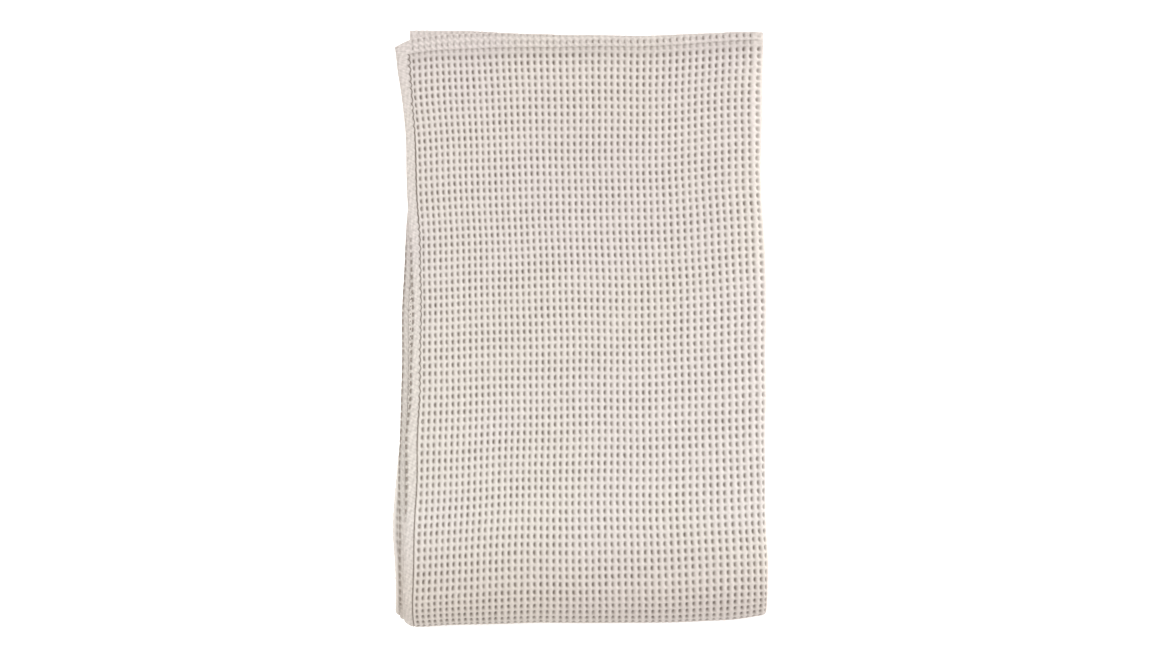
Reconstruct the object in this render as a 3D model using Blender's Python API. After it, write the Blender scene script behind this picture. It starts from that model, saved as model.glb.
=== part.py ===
"""Cotton bedspread in a waffle weave, folded into a flat bundle that lies on its underside.

One cloth, 1.5 m by 2.5 m, is folded into four across its width and then into four along its
length, so the bundle has sixteen layers. Its two hemmed edges end up at the left and at the far
end, its rounded folds at the right and at the near end. Metres, +Z up, X across the bundle,
+Y towards the hemmed end, and the origin below the middle of the bundle, on the surface.
"""

import bpy
import numpy as np

# Cloth, with a hem that is turned in and stitched on all four edges
CLOTH_THICKNESS = 0.0020
HEM_THICKNESS = 0.0025
HEM_WIDTH = 0.012
HEM_STEP_WIDTH = 0.0015

# Folded bundle: one layer to the next, and the panels in each direction
LAYER_PITCH = 0.0028
PANELS = 4

# Rounding of the folds: how far a turn bulges, against a half circle
SIDE_BULGE = 1.8
END_BULGE = 1.8

# Grid lines of a panel, in metres from its hemmed side: closer near the rims, where it sags
PANEL_LINES_ACROSS = (0.0, HEM_WIDTH, 0.050, 0.140, 0.235, 0.325, 0.375)
PANEL_LINES_ALONG = (0.0, HEM_WIDTH, 0.050, 0.140, 0.240, 0.340, 0.440, 0.530, 0.580, 0.625)

# Segments in each of the three turns
TURN_SEGMENTS_ACROSS = (6, 4, 4)
TURN_SEGMENTS_ALONG = (8, 6, 6)

# Sagging of the layers towards the rims of the bundle, as a share of the height
RIM_SAG = 0.06
RIM_SAG_WIDTH = 0.060

# How fast the top layer's own line of its end hem gives way to the line of the layers below
TOP_HEM_FADE = 2.0

# Slow waves over the bundle: share of the height, and a row for each wave, in radians per metre
WAVE_SHARE = 0.006
WAVES = (
    # across, along, start
    (17.0, 5.0, 0.6),
    (-9.0, 11.0, 2.1),
)

MM = 0.001

# A panel's place in the zigzag: its level, and +1 where the face side is up or -1 where it is down
LEVELS = (3, 0, 1, 2)
FACINGS = (1, -1, 1, -1)

# Across: where the five edges of the zigzag reach, in millimetres from the middle. A row for each
# place along the cloth, counted in panels: 0 the first hem, 1 the near outer fold, 2 the far fold,
# 3 the near inner fold, 4 the last hem.
EDGE_COLUMNS = ("along", "top_hem", "outer_fold", "left_fold", "inner_fold", "under_hem")
EDGES_ACROSS = (
    (0.00, -196.5, 193.2, -180.5, 183.5, -179.0),
    (0.08, -190.5, 192.4, -179.5, 183.0, -178.0),
    (0.20, -183.8, 191.4, -179.0, 182.0, -177.5),
    (0.33, -181.0, 193.0, -179.5, 183.0, -183.2),
    (0.50, -177.8, 195.5, -182.0, 185.0, -187.8),
    (0.63, -180.0, 195.8, -185.0, 186.0, -188.8),
    (0.75, -185.0, 195.8, -192.5, 186.0, -191.2),
    (0.87, -185.2, 196.6, -199.8, 187.0, -191.2),
    (1.00, -186.7, 198.8, -196.6, 188.0, -191.0),
    (1.50, -183.0, 195.0, -185.0, 186.5, -182.0),
    (2.00, -179.0, 191.0, -180.0, 183.0, -178.0),
    (2.50, -182.0, 193.0, -183.5, 184.5, -181.0),
    (3.00, -188.0, 195.5, -192.5, 186.5, -187.0),
    (3.50, -182.0, 193.0, -183.5, 185.0, -181.0),
    (4.00, -178.0, 190.5, -179.5, 182.5, -177.0),
)

# Along: where the edges of the second zigzag reach, in millimetres from the middle, by the place
# across the bundle. The first layer's hem has a column of its own, because the layers under it
# show past it at the left.
END_COLUMNS = ("across", "top_hem", "hem_below", "near_fold", "far_fold", "inner_fold", "last_hem")
EDGES_ALONG = (
    (-195.0, 296.3, 314.8, -315.5, 298.0, -292.0, 299.5),
    (-180.0, 303.7, 314.8, -318.0, 299.5, -294.0, 301.5),
    (-168.0, 306.8, 314.8, -319.3, 301.0, -296.0, 303.5),
    (-150.0, 309.0, 314.4, -319.6, 302.0, -298.5, 305.0),
    (-120.0, 310.8, 314.0, -318.6, 302.5, -301.0, 305.5),
    (-60.0, 310.7, 311.6, -316.8, 302.0, -302.0, 305.0),
    (0.0, 309.4, 308.0, -316.2, 301.5, -302.0, 304.0),
    (70.0, 308.9, 306.0, -316.0, 301.0, -301.0, 303.0),
    (130.0, 311.8, 308.0, -314.5, 301.5, -298.5, 303.0),
    (165.0, 314.2, 310.0, -312.0, 302.0, -293.5, 303.5),
    (195.0, 315.4, 311.0, -308.5, 302.0, -287.0, 303.5),
)

CLOTH_COLOUR = (0.72, 0.66, 0.60, 1.0)
CLOTH_ROUGHNESS = 0.92


def clear_scene():
    """Removes the objects that a new file starts with."""
    for obj in list(bpy.data.objects):
        bpy.data.objects.remove(obj, do_unlink=True)


def curve_through(at, names, rows, name):
    """Reads a table's named column at given places of its first column.

    Each stretch between two rows is a cubic piece, with the slope of the neighbouring rows.
    """
    table = np.array(rows)
    places = table[:, 0]
    values = table[:, names.index(name)]
    slopes = np.gradient(values, places)
    at = np.clip(at, places[0], places[-1])
    row = np.clip(np.searchsorted(places, at) - 1, 0, len(places) - 2)
    span = places[row + 1] - places[row]
    part = (at - places[row]) / span
    rise = part * part * (3 - 2 * part)
    leaving = part * (1 - part) ** 2 * slopes[row]
    arriving = part * part * (1 - part) * slopes[row + 1]
    return values[row] + rise * (values[row + 1] - values[row]) + span * (leaving - arriving)


def panel_stations(panel, lines):
    """Places along a panel, 0 to 1: its grid lines, and one more where an outer panel's hem ends."""
    lines = np.array(lines)
    if panel in (0, PANELS - 1):
        lines = np.sort(np.append(lines, HEM_WIDTH + HEM_STEP_WIDTH))
    part = lines / lines[-1]
    return part if panel % 2 == 0 else 1 - part[::-1]


def zigzag(pitch, bulge, lines, turn_segments):
    """Stations along a strip that is folded back and forth, with a turn between two panels.

    Each station has its place, in panels from the strip's start, and two straight lines in the
    offset w from the strip's middle plane: height = level + lift * w, and reach past the panels'
    end = out + push * w. A turn is a half circle about the middle of the two levels it joins.
    """
    columns = {name: [] for name in ("place", "level", "lift", "out", "push")}

    def add(place, level, lift, out, push):
        for name, values in zip(columns, (place, level, lift, out, push)):
            columns[name].append(np.broadcast_to(values, np.shape(place)))

    for panel in range(PANELS):
        facing = FACINGS[panel]
        part = panel_stations(panel, lines)
        add(panel + part, pitch * LEVELS[panel], facing, 0.0, 0.0)
        if panel == PANELS - 1:
            break
        segments = turn_segments[panel]
        angle = np.pi * np.arange(1, segments) / segments
        middle = (LEVELS[panel] + LEVELS[panel + 1]) / 2
        radius = (LEVELS[panel] - LEVELS[panel + 1]) / 2
        away = 1 if panel % 2 == 0 else -1
        add(
            np.full(segments - 1, panel + 1.0),
            pitch * (middle + radius * np.cos(angle)),
            facing * np.cos(angle),
            away * bulge * pitch * abs(radius) * np.sin(angle),
            away * facing * np.sign(radius) * np.sin(angle),
        )
    return {name: np.concatenate(values) for name, values in columns.items()}


def edge_between(place, edges):
    """Blends from one edge of the zigzag to the next in proportion to the place between them."""
    shares = [np.clip(1 - abs(place - index), 0, 1) for index in range(PANELS + 1)]
    return sum(share * edge for share, edge in zip(shares, edges))


def turn_reach(pitch, bulge, thickness, turn):
    """How far the skin of a turn stands out past the ends of the panels that it joins."""
    radius = abs(LEVELS[turn] - LEVELS[turn + 1]) / 2
    return bulge * pitch * radius + thickness / 2


def side_edges(place):
    """The x of the zigzag's five edges across the bundle, at places along the cloth."""
    edges = []
    for index, name in enumerate(EDGE_COLUMNS[1:]):
        edge = MM * curve_through(place, EDGE_COLUMNS, EDGES_ACROSS, name)
        if 0 < index < PANELS:
            reach = turn_reach(LAYER_PITCH, SIDE_BULGE, CLOTH_THICKNESS, index - 1)
            edge = edge - reach if index % 2 == 1 else edge + reach
        edges.append(edge)
    return edges


def end_edges(x, across_place):
    """The y of the second zigzag's five edges, at side places x; the top layer's hem is its own."""
    columns = {
        name: MM * curve_through(x / MM, END_COLUMNS, EDGES_ALONG, name)
        for name in END_COLUMNS[1:]
    }
    top_layer = np.clip((1 - across_place) * TOP_HEM_FADE, 0, 1)
    first_hem = columns["hem_below"] + top_layer * (columns["top_hem"] - columns["hem_below"])
    stack_thickness = (PANELS - 1) * LAYER_PITCH + CLOTH_THICKNESS
    edges = [first_hem]
    for index, name in enumerate(("near_fold", "far_fold", "inner_fold")):
        reach = turn_reach(PANELS * LAYER_PITCH, END_BULGE, stack_thickness, index)
        edges.append(columns[name] + reach if index % 2 == 0 else columns[name] - reach)
    edges.append(columns["last_hem"])
    return edges


def positions(across, along, offset):
    """Places of one skin of the sheet, with a row of the grid for each station along the cloth.

    The cloth is first folded across its width, which gives each point a side place x and a level
    in a stack of four layers. That stack is then folded along its length as one thick strip,
    which gives y and the height.
    """
    across_place = across["place"][None, :]
    along_place = along["place"][:, None]
    x = edge_between(across_place, side_edges(along_place))
    x = x + across["out"] + across["push"] * offset
    stack_middle = (PANELS - 1) * LAYER_PITCH / 2
    depth = across["level"] + across["lift"] * offset - stack_middle
    y = edge_between(along_place, end_edges(x, across_place))
    y = y - along["out"][:, None] - along["push"][:, None] * depth
    lowest = stack_middle + CLOTH_THICKNESS / 2
    height = lowest + along["level"][:, None] + along["lift"][:, None] * depth
    return np.stack([x, y, height], axis=-1)


def sag(points):
    """Scales the heights: lower towards the rims of the bundle, and in slow waves over it."""
    x, y, z = np.moveaxis(points, -1, 0)
    low, high = points.min(axis=(0, 1)), points.max(axis=(0, 1))
    inward = np.minimum(np.minimum(x - low[0], high[0] - x), np.minimum(y - low[1], high[1] - y))
    nearness = np.clip(1 - inward / RIM_SAG_WIDTH, 0, 1)
    waves = sum(np.sin(across * x + along * y + start) for across, along, start in WAVES)
    share = 1 - RIM_SAG * nearness**2 + WAVE_SHARE * waves
    return np.stack([x, y, np.maximum(z * share, 0.0)], axis=-1)


def skin_offset(across, along):
    """Half the cloth's thickness at each station, more on the hems at the four edges."""
    from_side = np.minimum(across["place"], PANELS - across["place"])[None, :]
    from_end = np.minimum(along["place"], PANELS - along["place"])[:, None]
    inward = np.minimum(from_side * PANEL_LINES_ACROSS[-1], from_end * PANEL_LINES_ALONG[-1])
    hem = inward < HEM_WIDTH + HEM_STEP_WIDTH / 2
    return np.where(hem, HEM_THICKNESS, CLOTH_THICKNESS) / 2


def grid_faces(rows, columns, first, flip):
    """Quads of a grid whose points are numbered row by row from first."""
    row, column = np.meshgrid(np.arange(rows - 1), np.arange(columns - 1), indexing="ij")
    corner = first + row * columns + column
    quads = np.stack([corner, corner + 1, corner + columns + 1, corner + columns], axis=-1)
    quads = quads.reshape(-1, 4)
    return quads[:, ::-1] if flip else quads


def rim_faces(rows, columns):
    """Quads that join the two skins along the four edges of the sheet."""
    index = np.arange(rows * columns).reshape(rows, columns)
    loop = np.concatenate([index[0, :-1], index[:-1, -1], index[-1, :0:-1], index[:0:-1, 0]])
    following = np.roll(loop, -1)
    below = rows * columns
    return np.stack([following, loop, loop + below, following + below], axis=-1)


def build_bedspread():
    """The folded sheet as one closed body: face skin, back skin and the rim between them."""
    across = zigzag(LAYER_PITCH, SIDE_BULGE, PANEL_LINES_ACROSS, TURN_SEGMENTS_ACROSS)
    along = zigzag(PANELS * LAYER_PITCH, END_BULGE, PANEL_LINES_ALONG, TURN_SEGMENTS_ALONG)
    half = skin_offset(across, along)
    face = positions(across, along, half)
    back = positions(across, along, -half)
    rows, columns = face.shape[:2]
    points = sag(np.concatenate([face, back])).reshape(-1, 3)
    middle = (points.min(axis=0) + points.max(axis=0)) / 2
    points[:, :2] -= middle[:2]
    quads = np.concatenate(
        [
            grid_faces(rows, columns, 0, flip=True),
            grid_faces(rows, columns, rows * columns, flip=False),
            rim_faces(rows, columns)[:, ::-1],
        ]
    )
    mesh = bpy.data.meshes.new("bedspread")
    mesh.from_pydata(points.tolist(), [], quads.tolist())
    mesh.shade_smooth()
    mesh.update()
    bedspread = bpy.data.objects.new("bedspread", mesh)
    bpy.context.scene.collection.objects.link(bedspread)
    return bedspread


def waffle_cotton():
    """Undyed cotton: warm off-white and matt."""
    material = bpy.data.materials.new("waffle_cotton")
    material.use_nodes = True
    shader = material.node_tree.nodes["Principled BSDF"]
    shader.inputs["Base Color"].default_value = CLOTH_COLOUR
    shader.inputs["Roughness"].default_value = CLOTH_ROUGHNESS
    shader.inputs["Metallic"].default_value = 0.0
    return material


def main():
    """Clears the scene and builds the bedspread."""
    clear_scene()
    bedspread = build_bedspread()
    bedspread.data.materials.append(waffle_cotton())


main()
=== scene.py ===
"""Cotton bedspread in a waffle weave, folded into a flat bundle and seen from straight above.

The cloth is one sheet of 1.5 m by 2.5 m, folded into four across its width and then into four
along its length. Every surface here is a function of two runs over that flat sheet, in metres of
cloth: the run across from the first side hem, and the run along from the first end hem. The
layers inside the bundle are one plain sheet, and each part of the cloth that shows is a patch of
that sheet with the relief of the weave: cells on the panels and folds, and bands on the hems.
"""

import logging
from collections.abc import Callable
from dataclasses import dataclass, field, fields
from enum import Enum
from typing import Any

import bpy
import numpy as np
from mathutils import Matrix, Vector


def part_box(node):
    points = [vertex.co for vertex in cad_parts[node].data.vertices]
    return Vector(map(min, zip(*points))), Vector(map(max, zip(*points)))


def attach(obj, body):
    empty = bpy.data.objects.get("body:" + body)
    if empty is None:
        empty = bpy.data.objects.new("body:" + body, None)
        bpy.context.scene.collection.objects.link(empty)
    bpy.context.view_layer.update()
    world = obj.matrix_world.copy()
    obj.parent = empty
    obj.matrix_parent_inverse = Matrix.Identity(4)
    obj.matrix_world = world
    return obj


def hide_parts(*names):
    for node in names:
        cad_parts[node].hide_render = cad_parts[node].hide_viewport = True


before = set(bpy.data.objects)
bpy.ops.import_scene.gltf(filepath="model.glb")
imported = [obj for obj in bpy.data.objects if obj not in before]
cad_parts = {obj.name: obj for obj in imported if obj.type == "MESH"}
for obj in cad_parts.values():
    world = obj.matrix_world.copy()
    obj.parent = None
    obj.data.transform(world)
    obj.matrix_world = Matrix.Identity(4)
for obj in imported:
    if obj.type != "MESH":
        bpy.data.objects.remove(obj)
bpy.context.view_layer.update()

Array = np.ndarray
Colour = tuple[float, float, float, float]
LOG = logging.getLogger("bedspread")
MM = 0.001
NODE = "bedspread"
SLOT = "waffle_cotton"
BODY = "root"
WHITE: Colour = (1.0, 1.0, 1.0, 1.0)


class Skin(Enum):
    """The two sides of the cloth: the face is the outside of the folded bundle."""

    FACE = 1.0
    BACK = -1.0


def smooth_step(low: float | Array, high: float | Array, value: Array) -> Array:
    """Rises from 0 at low to 1 at high, as 3 t squared minus 2 t cubed.

    Args:
        low: Value where the rise starts.
        high: Value where the rise ends.
        value: Values to read.

    Returns:
        The share of the rise at each value.
    """
    share = np.clip((value - low) / (high - low), 0.0, 1.0)
    return share * share * (3.0 - 2.0 * share)


def hump(value: Array, middle: float | Array, radius: float) -> Array:
    """A bell of height 1: the exponential of minus the square of the distance over the radius."""
    return np.exp(-(((value - middle) / radius) ** 2))


def as_column(values: Array) -> Array:
    """A row of values as a column."""
    return values[:, None]


@dataclass(frozen=True)
class Table:
    """Rows of named columns, read between the rows as a smooth curve.

    Attributes:
        names: The columns' names, the first of which holds the places of the rows.
        rows: The rows, in order of place.
    """

    names: tuple[str, ...]
    rows: tuple[tuple[float, ...], ...]

    def read(self, name: str, at: Array) -> Array:
        """Reads a column at given places.

        Each stretch between two rows is a cubic in the share of the way along it, whose slope at
        a row is the slope through the row's neighbours.

        Args:
            name: The column.
            at: Places along the first column.

        Returns:
            The column's values there, in the table's unit.
        """
        table = np.array(self.rows)
        places, values = table[:, 0], table[:, self.names.index(name)]
        slopes = np.gradient(values, places)
        at = np.clip(at, places[0], places[-1])
        row = np.clip(np.searchsorted(places, at) - 1, 0, len(places) - 2)
        span = places[row + 1] - places[row]
        part = (at - places[row]) / span
        rise = part * part * (3 - 2 * part)
        leaving = part * (1 - part) ** 2 * slopes[row]
        arriving = part * part * (1 - part) * slopes[row + 1]
        return values[row] + rise * (values[row + 1] - values[row]) + span * (leaving - arriving)


# Where the edges of the folded strip reach across the bundle, in millimetres from its middle, by
# the place along the cloth in panels: 0 first hem, 1 near fold, 2 far fold, 3 inner fold, 4 hem
SIDE_EDGES = Table(
    ("along", "top_hem", "outer_fold", "left_fold", "inner_fold", "under_hem"),
    (
        (0.00, -196.5, 194.9, -180.5, 183.5, -179.0),
        (0.08, -190.5, 194.2, -179.5, 183.0, -178.0),
        (0.16, -186.0, 194.1, -179.2, 182.3, -177.7),
        (0.20, -183.8, 192.6, -179.0, 182.0, -177.5),
        (0.33, -181.0, 194.0, -179.5, 183.0, -183.2),
        (0.42, -179.2, 198.1, -180.6, 184.0, -185.8),
        (0.50, -177.8, 198.2, -182.0, 185.0, -187.8),
        (0.63, -180.0, 197.6, -185.0, 186.0, -188.8),
        (0.75, -185.0, 197.5, -192.5, 186.0, -191.2),
        (0.87, -185.2, 197.9, -198.7, 187.0, -191.2),
        (0.94, -185.9, 199.5, -195.9, 187.5, -191.1),
        (1.00, -186.7, 199.2, -195.4, 188.0, -191.0),
        (1.50, -183.0, 195.0, -185.0, 186.5, -182.0),
        (2.00, -179.0, 191.0, -180.0, 183.0, -178.0),
        (2.50, -182.0, 193.0, -183.5, 184.5, -181.0),
        (3.00, -188.0, 195.5, -192.5, 186.5, -187.0),
        (3.50, -182.0, 193.0, -183.5, 185.0, -181.0),
        (4.00, -178.0, 190.5, -179.5, 182.5, -177.0),
    ),
)

# Where the edges of the second zigzag reach along the bundle, in millimetres from its middle, by
# the place across it in millimetres
END_EDGES = Table(
    ("across", "top_hem", "hem_below", "near_fold", "far_fold", "inner_fold", "last_hem"),
    (
        (-195.0, 296.3, 315.6, -312.0, 298.0, -292.0, 299.5),
        (-187.0, 300.6, 315.6, -314.6, 298.8, -293.0, 300.5),
        (-180.0, 303.7, 315.6, -318.8, 299.5, -294.0, 301.5),
        (-168.0, 306.8, 315.5, -319.6, 301.0, -296.0, 303.5),
        (-150.0, 309.2, 315.1, -318.7, 302.0, -298.5, 305.0),
        (-120.0, 311.4, 314.7, -317.4, 302.5, -301.0, 305.5),
        (-60.0, 310.8, 311.7, -315.8, 302.0, -302.0, 305.0),
        (0.0, 309.7, 309.5, -315.6, 301.5, -302.0, 304.0),
        (70.0, 309.2, 309.2, -315.8, 301.0, -301.0, 303.0),
        (130.0, 311.5, 311.5, -313.6, 301.5, -298.5, 303.0),
        (165.0, 313.5, 313.5, -312.0, 302.0, -293.5, 303.5),
        (195.0, 313.4, 313.4, -307.0, 302.0, -287.0, 303.5),
    ),
)

# The top panel in more detail, by the place along it: its side hem's edge and stitch line, five of
# its columns of cells and the line where the outer fold starts, in millimetres from the middle
TOP_COLUMNS = Table(
    (
        "along", "edge", "stitch", "column_0", "column_13", "column_27", "column_40", "column_50",
        "fold_start",
    ),
    (
        (0.00, -196.5, -181.5, -176.0, -94.4, 1.7, 89.8, 159.8, 183.6),
        (0.05, -194.4, -179.4, -174.7, -93.0, 2.0, 89.8, 159.7, 183.2),
        (0.10, -189.0, -176.9, -173.1, -90.9, 1.8, 89.1, 159.0, 182.2),
        (0.17, -184.5, -174.0, -169.2, -88.9, 2.2, 88.8, 158.7, 182.0),
        (0.23, -183.3, -172.4, -167.4, -88.6, 2.4, 89.4, 159.2, 182.5),
        (0.30, -182.0, -171.0, -165.9, -87.0, 3.9, 90.1, 160.0, 183.7),
        (0.36, -180.0, -168.8, -164.5, -85.5, 5.1, 91.4, 161.9, 185.4),
        (0.43, -178.8, -167.8, -163.7, -83.7, 6.3, 92.9, 164.1, 187.4),
        (0.52, -177.5, -167.5, -163.3, -83.2, 7.6, 94.8, 166.0, 188.6),
        (0.59, -179.5, -167.9, -163.0, -82.6, 7.9, 95.2, 166.2, 188.9),
        (0.65, -180.5, -169.1, -163.9, -82.8, 8.4, 96.2, 166.3, 189.4),
        (0.70, -184.3, -170.8, -164.8, -83.0, 8.5, 96.1, 166.9, 189.7),
        (0.79, -185.0, -172.1, -166.5, -83.7, 7.7, 96.4, 168.4, 191.0),
        (0.86, -185.2, -174.0, -167.5, -84.9, 6.8, 97.1, 170.4, 192.0),
        (0.94, -186.0, -175.2, -169.3, -87.0, 8.3, 99.0, 172.3, 193.4),
        (1.00, -186.7, -176.1, -171.0, -87.9, 9.0, 100.5, 173.0, 194.3),
    ),
)

# Where six rows of cells lie on the top panel, in millimetres from the middle, by the place across
TOP_ROWS = Table(
    ("across", "row_0", "row_20", "row_40", "row_60", "row_66", "row_70"),
    (
        (-175.0, 281.7, 125.2, -33.3, -201.6, -252.8, -286.4),
        (-158.0, 283.6, 126.1, -32.3, -200.6, -252.1, -285.6),
        (-84.0, 286.8, 129.8, -29.2, -195.5, -247.4, -280.4),
        (0.0, 288.0, 131.6, -27.1, -194.1, -246.4, -279.2),
        (85.0, 288.3, 132.2, -27.0, -193.2, -245.4, -278.9),
        (125.0, 290.8, 135.3, -24.6, -192.4, -244.0, -277.1),
        (164.0, 294.7, 138.6, -22.1, -190.7, -242.3, -275.1),
        (186.0, 295.5, 140.0, -20.7, -189.4, -241.1, -274.2),
    ),
)


@dataclass(frozen=True)
class Stations:
    """Places along a folded strip, as arrays that share a shape.

    Attributes:
        place: Place in panels from the strip's first hem; a turn stays at the panels' shared end.
        level: Height of the strip's middle plane.
        lift: Height gained for each metre of offset from the middle plane.
        out: Reach of the middle plane past the panels' end.
        push: Reach gained for each metre of offset.
        run: Metres of cloth from the first hem.
        keep: Share of the offset that is left, less than 1 on the rounded rim of a hem.
        brim: Share of the half thickness by which the rim stands out past the hem.
    """

    place: Array
    level: Array
    lift: Array
    out: Array
    push: Array
    run: Array
    keep: Array
    brim: Array

    def each(self, change: Callable[[Array], Array]) -> "Stations":
        """The stations with the same change made to each of their arrays."""
        return Stations(*(change(getattr(self, column.name)) for column in fields(self)))

    @staticmethod
    def joined(parts: list["Stations"]) -> "Stations":
        """Joins stretches of stations end to end, along their first axis.

        Args:
            parts: The stretches, whose other axes are stretched to one shape.

        Returns:
            The joined stations.
        """
        shape = np.broadcast_shapes(*(part.run.shape[1:] for part in parts))
        full = [part.each(lambda a: np.broadcast_to(a, (len(a), *shape))) for part in parts]
        names = [column.name for column in fields(Stations)]
        return Stations(*(np.concatenate([getattr(part, name) for part in full]) for name in names))


@dataclass(frozen=True)
class Zigzag:
    """A strip folded back and forth into four panels, with a rounded turn between two panels.

    Attributes:
        pitch: Height from one level to the next.
        bulge: How far a turn bulges, against a half circle.
        panel_run: Cloth in a panel.
        turn_runs: Cloth in each of the three turns.
        stretch: How much wider the cells grow from the hemmed side to the folded side.
        LEVELS: Level of each panel, with the last one's twice.
        FACINGS: Whether a panel's face looks up, 1, or down, -1.
        PANELS: Number of panels.
        ANGLES: Angles round a turn at which its length is measured.
    """

    pitch: float
    bulge: float
    panel_run: float
    turn_runs: tuple[float, float, float]
    stretch: float

    LEVELS = np.array([3.0, 0.0, 1.0, 2.0, 2.0])
    FACINGS = np.array([1.0, -1.0, 1.0, -1.0])
    PANELS = 4
    ANGLES = np.linspace(0.0, np.pi, 181)

    @property
    def bounds(self) -> Array:
        """Runs at which the panels and turns start and end, in order."""
        first, second, third = self.turn_runs
        panel = self.panel_run
        return np.cumsum([0.0, panel, first, panel, second, panel, third, panel])

    @property
    def length(self) -> float:
        """The whole run of the strip."""
        return float(self.bounds[-1])

    def spread(self, from_hem: Array) -> Array:
        """Place on a panel at a share of its run from the hemmed side."""
        return from_hem + self.stretch * from_hem * (from_hem - 1)

    def turn_angle(self, share: Array) -> Array:
        """Angle round a turn, so that equal shares are equal steps along its half ellipse."""
        speed = np.sqrt((self.bulge * np.cos(self.ANGLES)) ** 2 + np.sin(self.ANGLES) ** 2)
        length = np.concatenate([[0.0], np.cumsum((speed[1:] + speed[:-1]) / 2)])
        return np.interp(share, length / length[-1], self.ANGLES)

    def stations(self, run: Array) -> Stations:
        """Stations at given runs.

        On a panel the place grows with the run, plus the stretch times t (t - 1) at the share t
        of the way from the hemmed side. On a turn the middle plane is a half ellipse about the
        middle of the two levels: level = middle + radius cos(angle), out = bulge radius
        sin(angle), and an offset is added along the half circle's own normal.

        Args:
            run: Runs from the first hem, of any shape.

        Returns:
            The stations, in the same shape.
        """
        run = np.asarray(run, float)
        bounds = self.bounds
        section = np.clip(np.searchsorted(bounds, run, side="right") - 1, 0, len(bounds) - 2)
        share = (run - bounds[section]) / (bounds[section + 1] - bounds[section])
        panel, turning = section // 2, section % 2 == 1
        even = panel % 2 == 0
        from_hem = np.where(even, share, 1 - share)
        spread = self.spread(from_hem)
        angle = np.where(turning, self.turn_angle(share), 0.0)
        start, end = self.LEVELS[panel], self.LEVELS[panel + 1]
        middle = np.where(turning, (start + end) / 2, start)
        radius = np.where(turning, (start - end) / 2, 0.0)
        away = np.where(even, 1.0, -1.0)
        facing = self.FACINGS[panel]
        return Stations(
            place=panel + np.where(turning, 1.0, np.where(even, spread, 1 - spread)),
            level=self.pitch * (middle + radius * np.cos(angle)),
            lift=facing * np.cos(angle),
            out=away * self.bulge * self.pitch * abs(radius) * np.sin(angle),
            push=away * facing * np.sign(radius) * np.sin(angle),
            run=run,
            keep=np.ones_like(run),
            brim=np.zeros_like(run),
        )

    def rim(self, steps: int, sweep: float, inset: float, last: bool) -> Stations:
        """Stations round the rounded rim of a hem, from under it up to the edge of its top.

        Args:
            steps: Number of stations.
            sweep: Angle from the top of the rim to the first station, in radians.
            inset: Run from the hem's edge to the middle of its rounding.
            last: Whether it is the last hem of the strip instead of the first.

        Returns:
            The stations, whose kept offset is the cosine of the angle and whose brim is its sine.
        """
        at = self.stations(np.full(steps, self.length - inset if last else inset))
        angle = sweep * (1 - np.arange(steps) / steps)
        return Stations(
            at.place, at.level, at.lift, at.out, at.push, at.run, np.cos(angle), np.sin(angle)
        )


@dataclass(frozen=True)
class CellGrid:
    """Where the cells of the weave lie on the flat sheet.

    Attributes:
        column_pitch: Cloth from one column of cells to the next.
        row_pitch: Cloth from one row of cells to the next.
        first_column: Run across of the first column's middle.
        first_row_left: Run along of the first row's middle at the left of the bundle.
        first_row_right: The same at the right.
        panel_run: Cloth in a panel along.
    """

    column_pitch: float = 0.0066
    row_pitch: float = 0.0080
    first_column: float = 0.0148
    first_row_left: float = 0.0243
    first_row_right: float = 0.0174
    panel_run: float = 0.5833

    @staticmethod
    def from_left(across_place: Array) -> Array:
        """Share of the way from the left side of the bundle to the right, on any layer."""
        return 1 - abs(across_place % 2 - 1)

    def first_row(self, across_place: Array) -> Array:
        """Run along of the first row's middle, because the end hem is sewn on a slant."""
        left = self.from_left(across_place)
        return self.first_row_left + left * (self.first_row_right - self.first_row_left)

    def column_run(self, column: float | Array) -> Array:
        """Run across of a column of cells."""
        return self.first_column + self.column_pitch * np.asarray(column)

    def row_run(self, row: float | Array, across_place: Array) -> Array:
        """Run along of a row of cells.

        On the first panel the slant of the first row falls evenly to nothing at the panel's end.

        Args:
            row: Cell coordinate along.
            across_place: Place across, in panels.

        Returns:
            The run.
        """
        middle = (self.first_row_left + self.first_row_right) / 2
        first = self.first_row(across_place)
        level = self.row_pitch * row + middle
        slanted = (self.row_pitch * row + first) / (1 + (first - middle) / self.panel_run)
        return np.where(level < self.panel_run, slanted, level)

    def column_at(self, run: Array) -> Array:
        """Column of cells at a run across, the inverse of column_run."""
        return (run - self.first_column) / self.column_pitch

    def row_at(self, run: Array, across_place: Array) -> Array:
        """Row of cells at a run along, the inverse of row_run."""
        middle = (self.first_row_left + self.first_row_right) / 2
        slant = self.first_row(across_place) - middle
        return (run - middle - slant * np.clip(1 - run / self.panel_run, 0, 1)) / self.row_pitch


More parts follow.
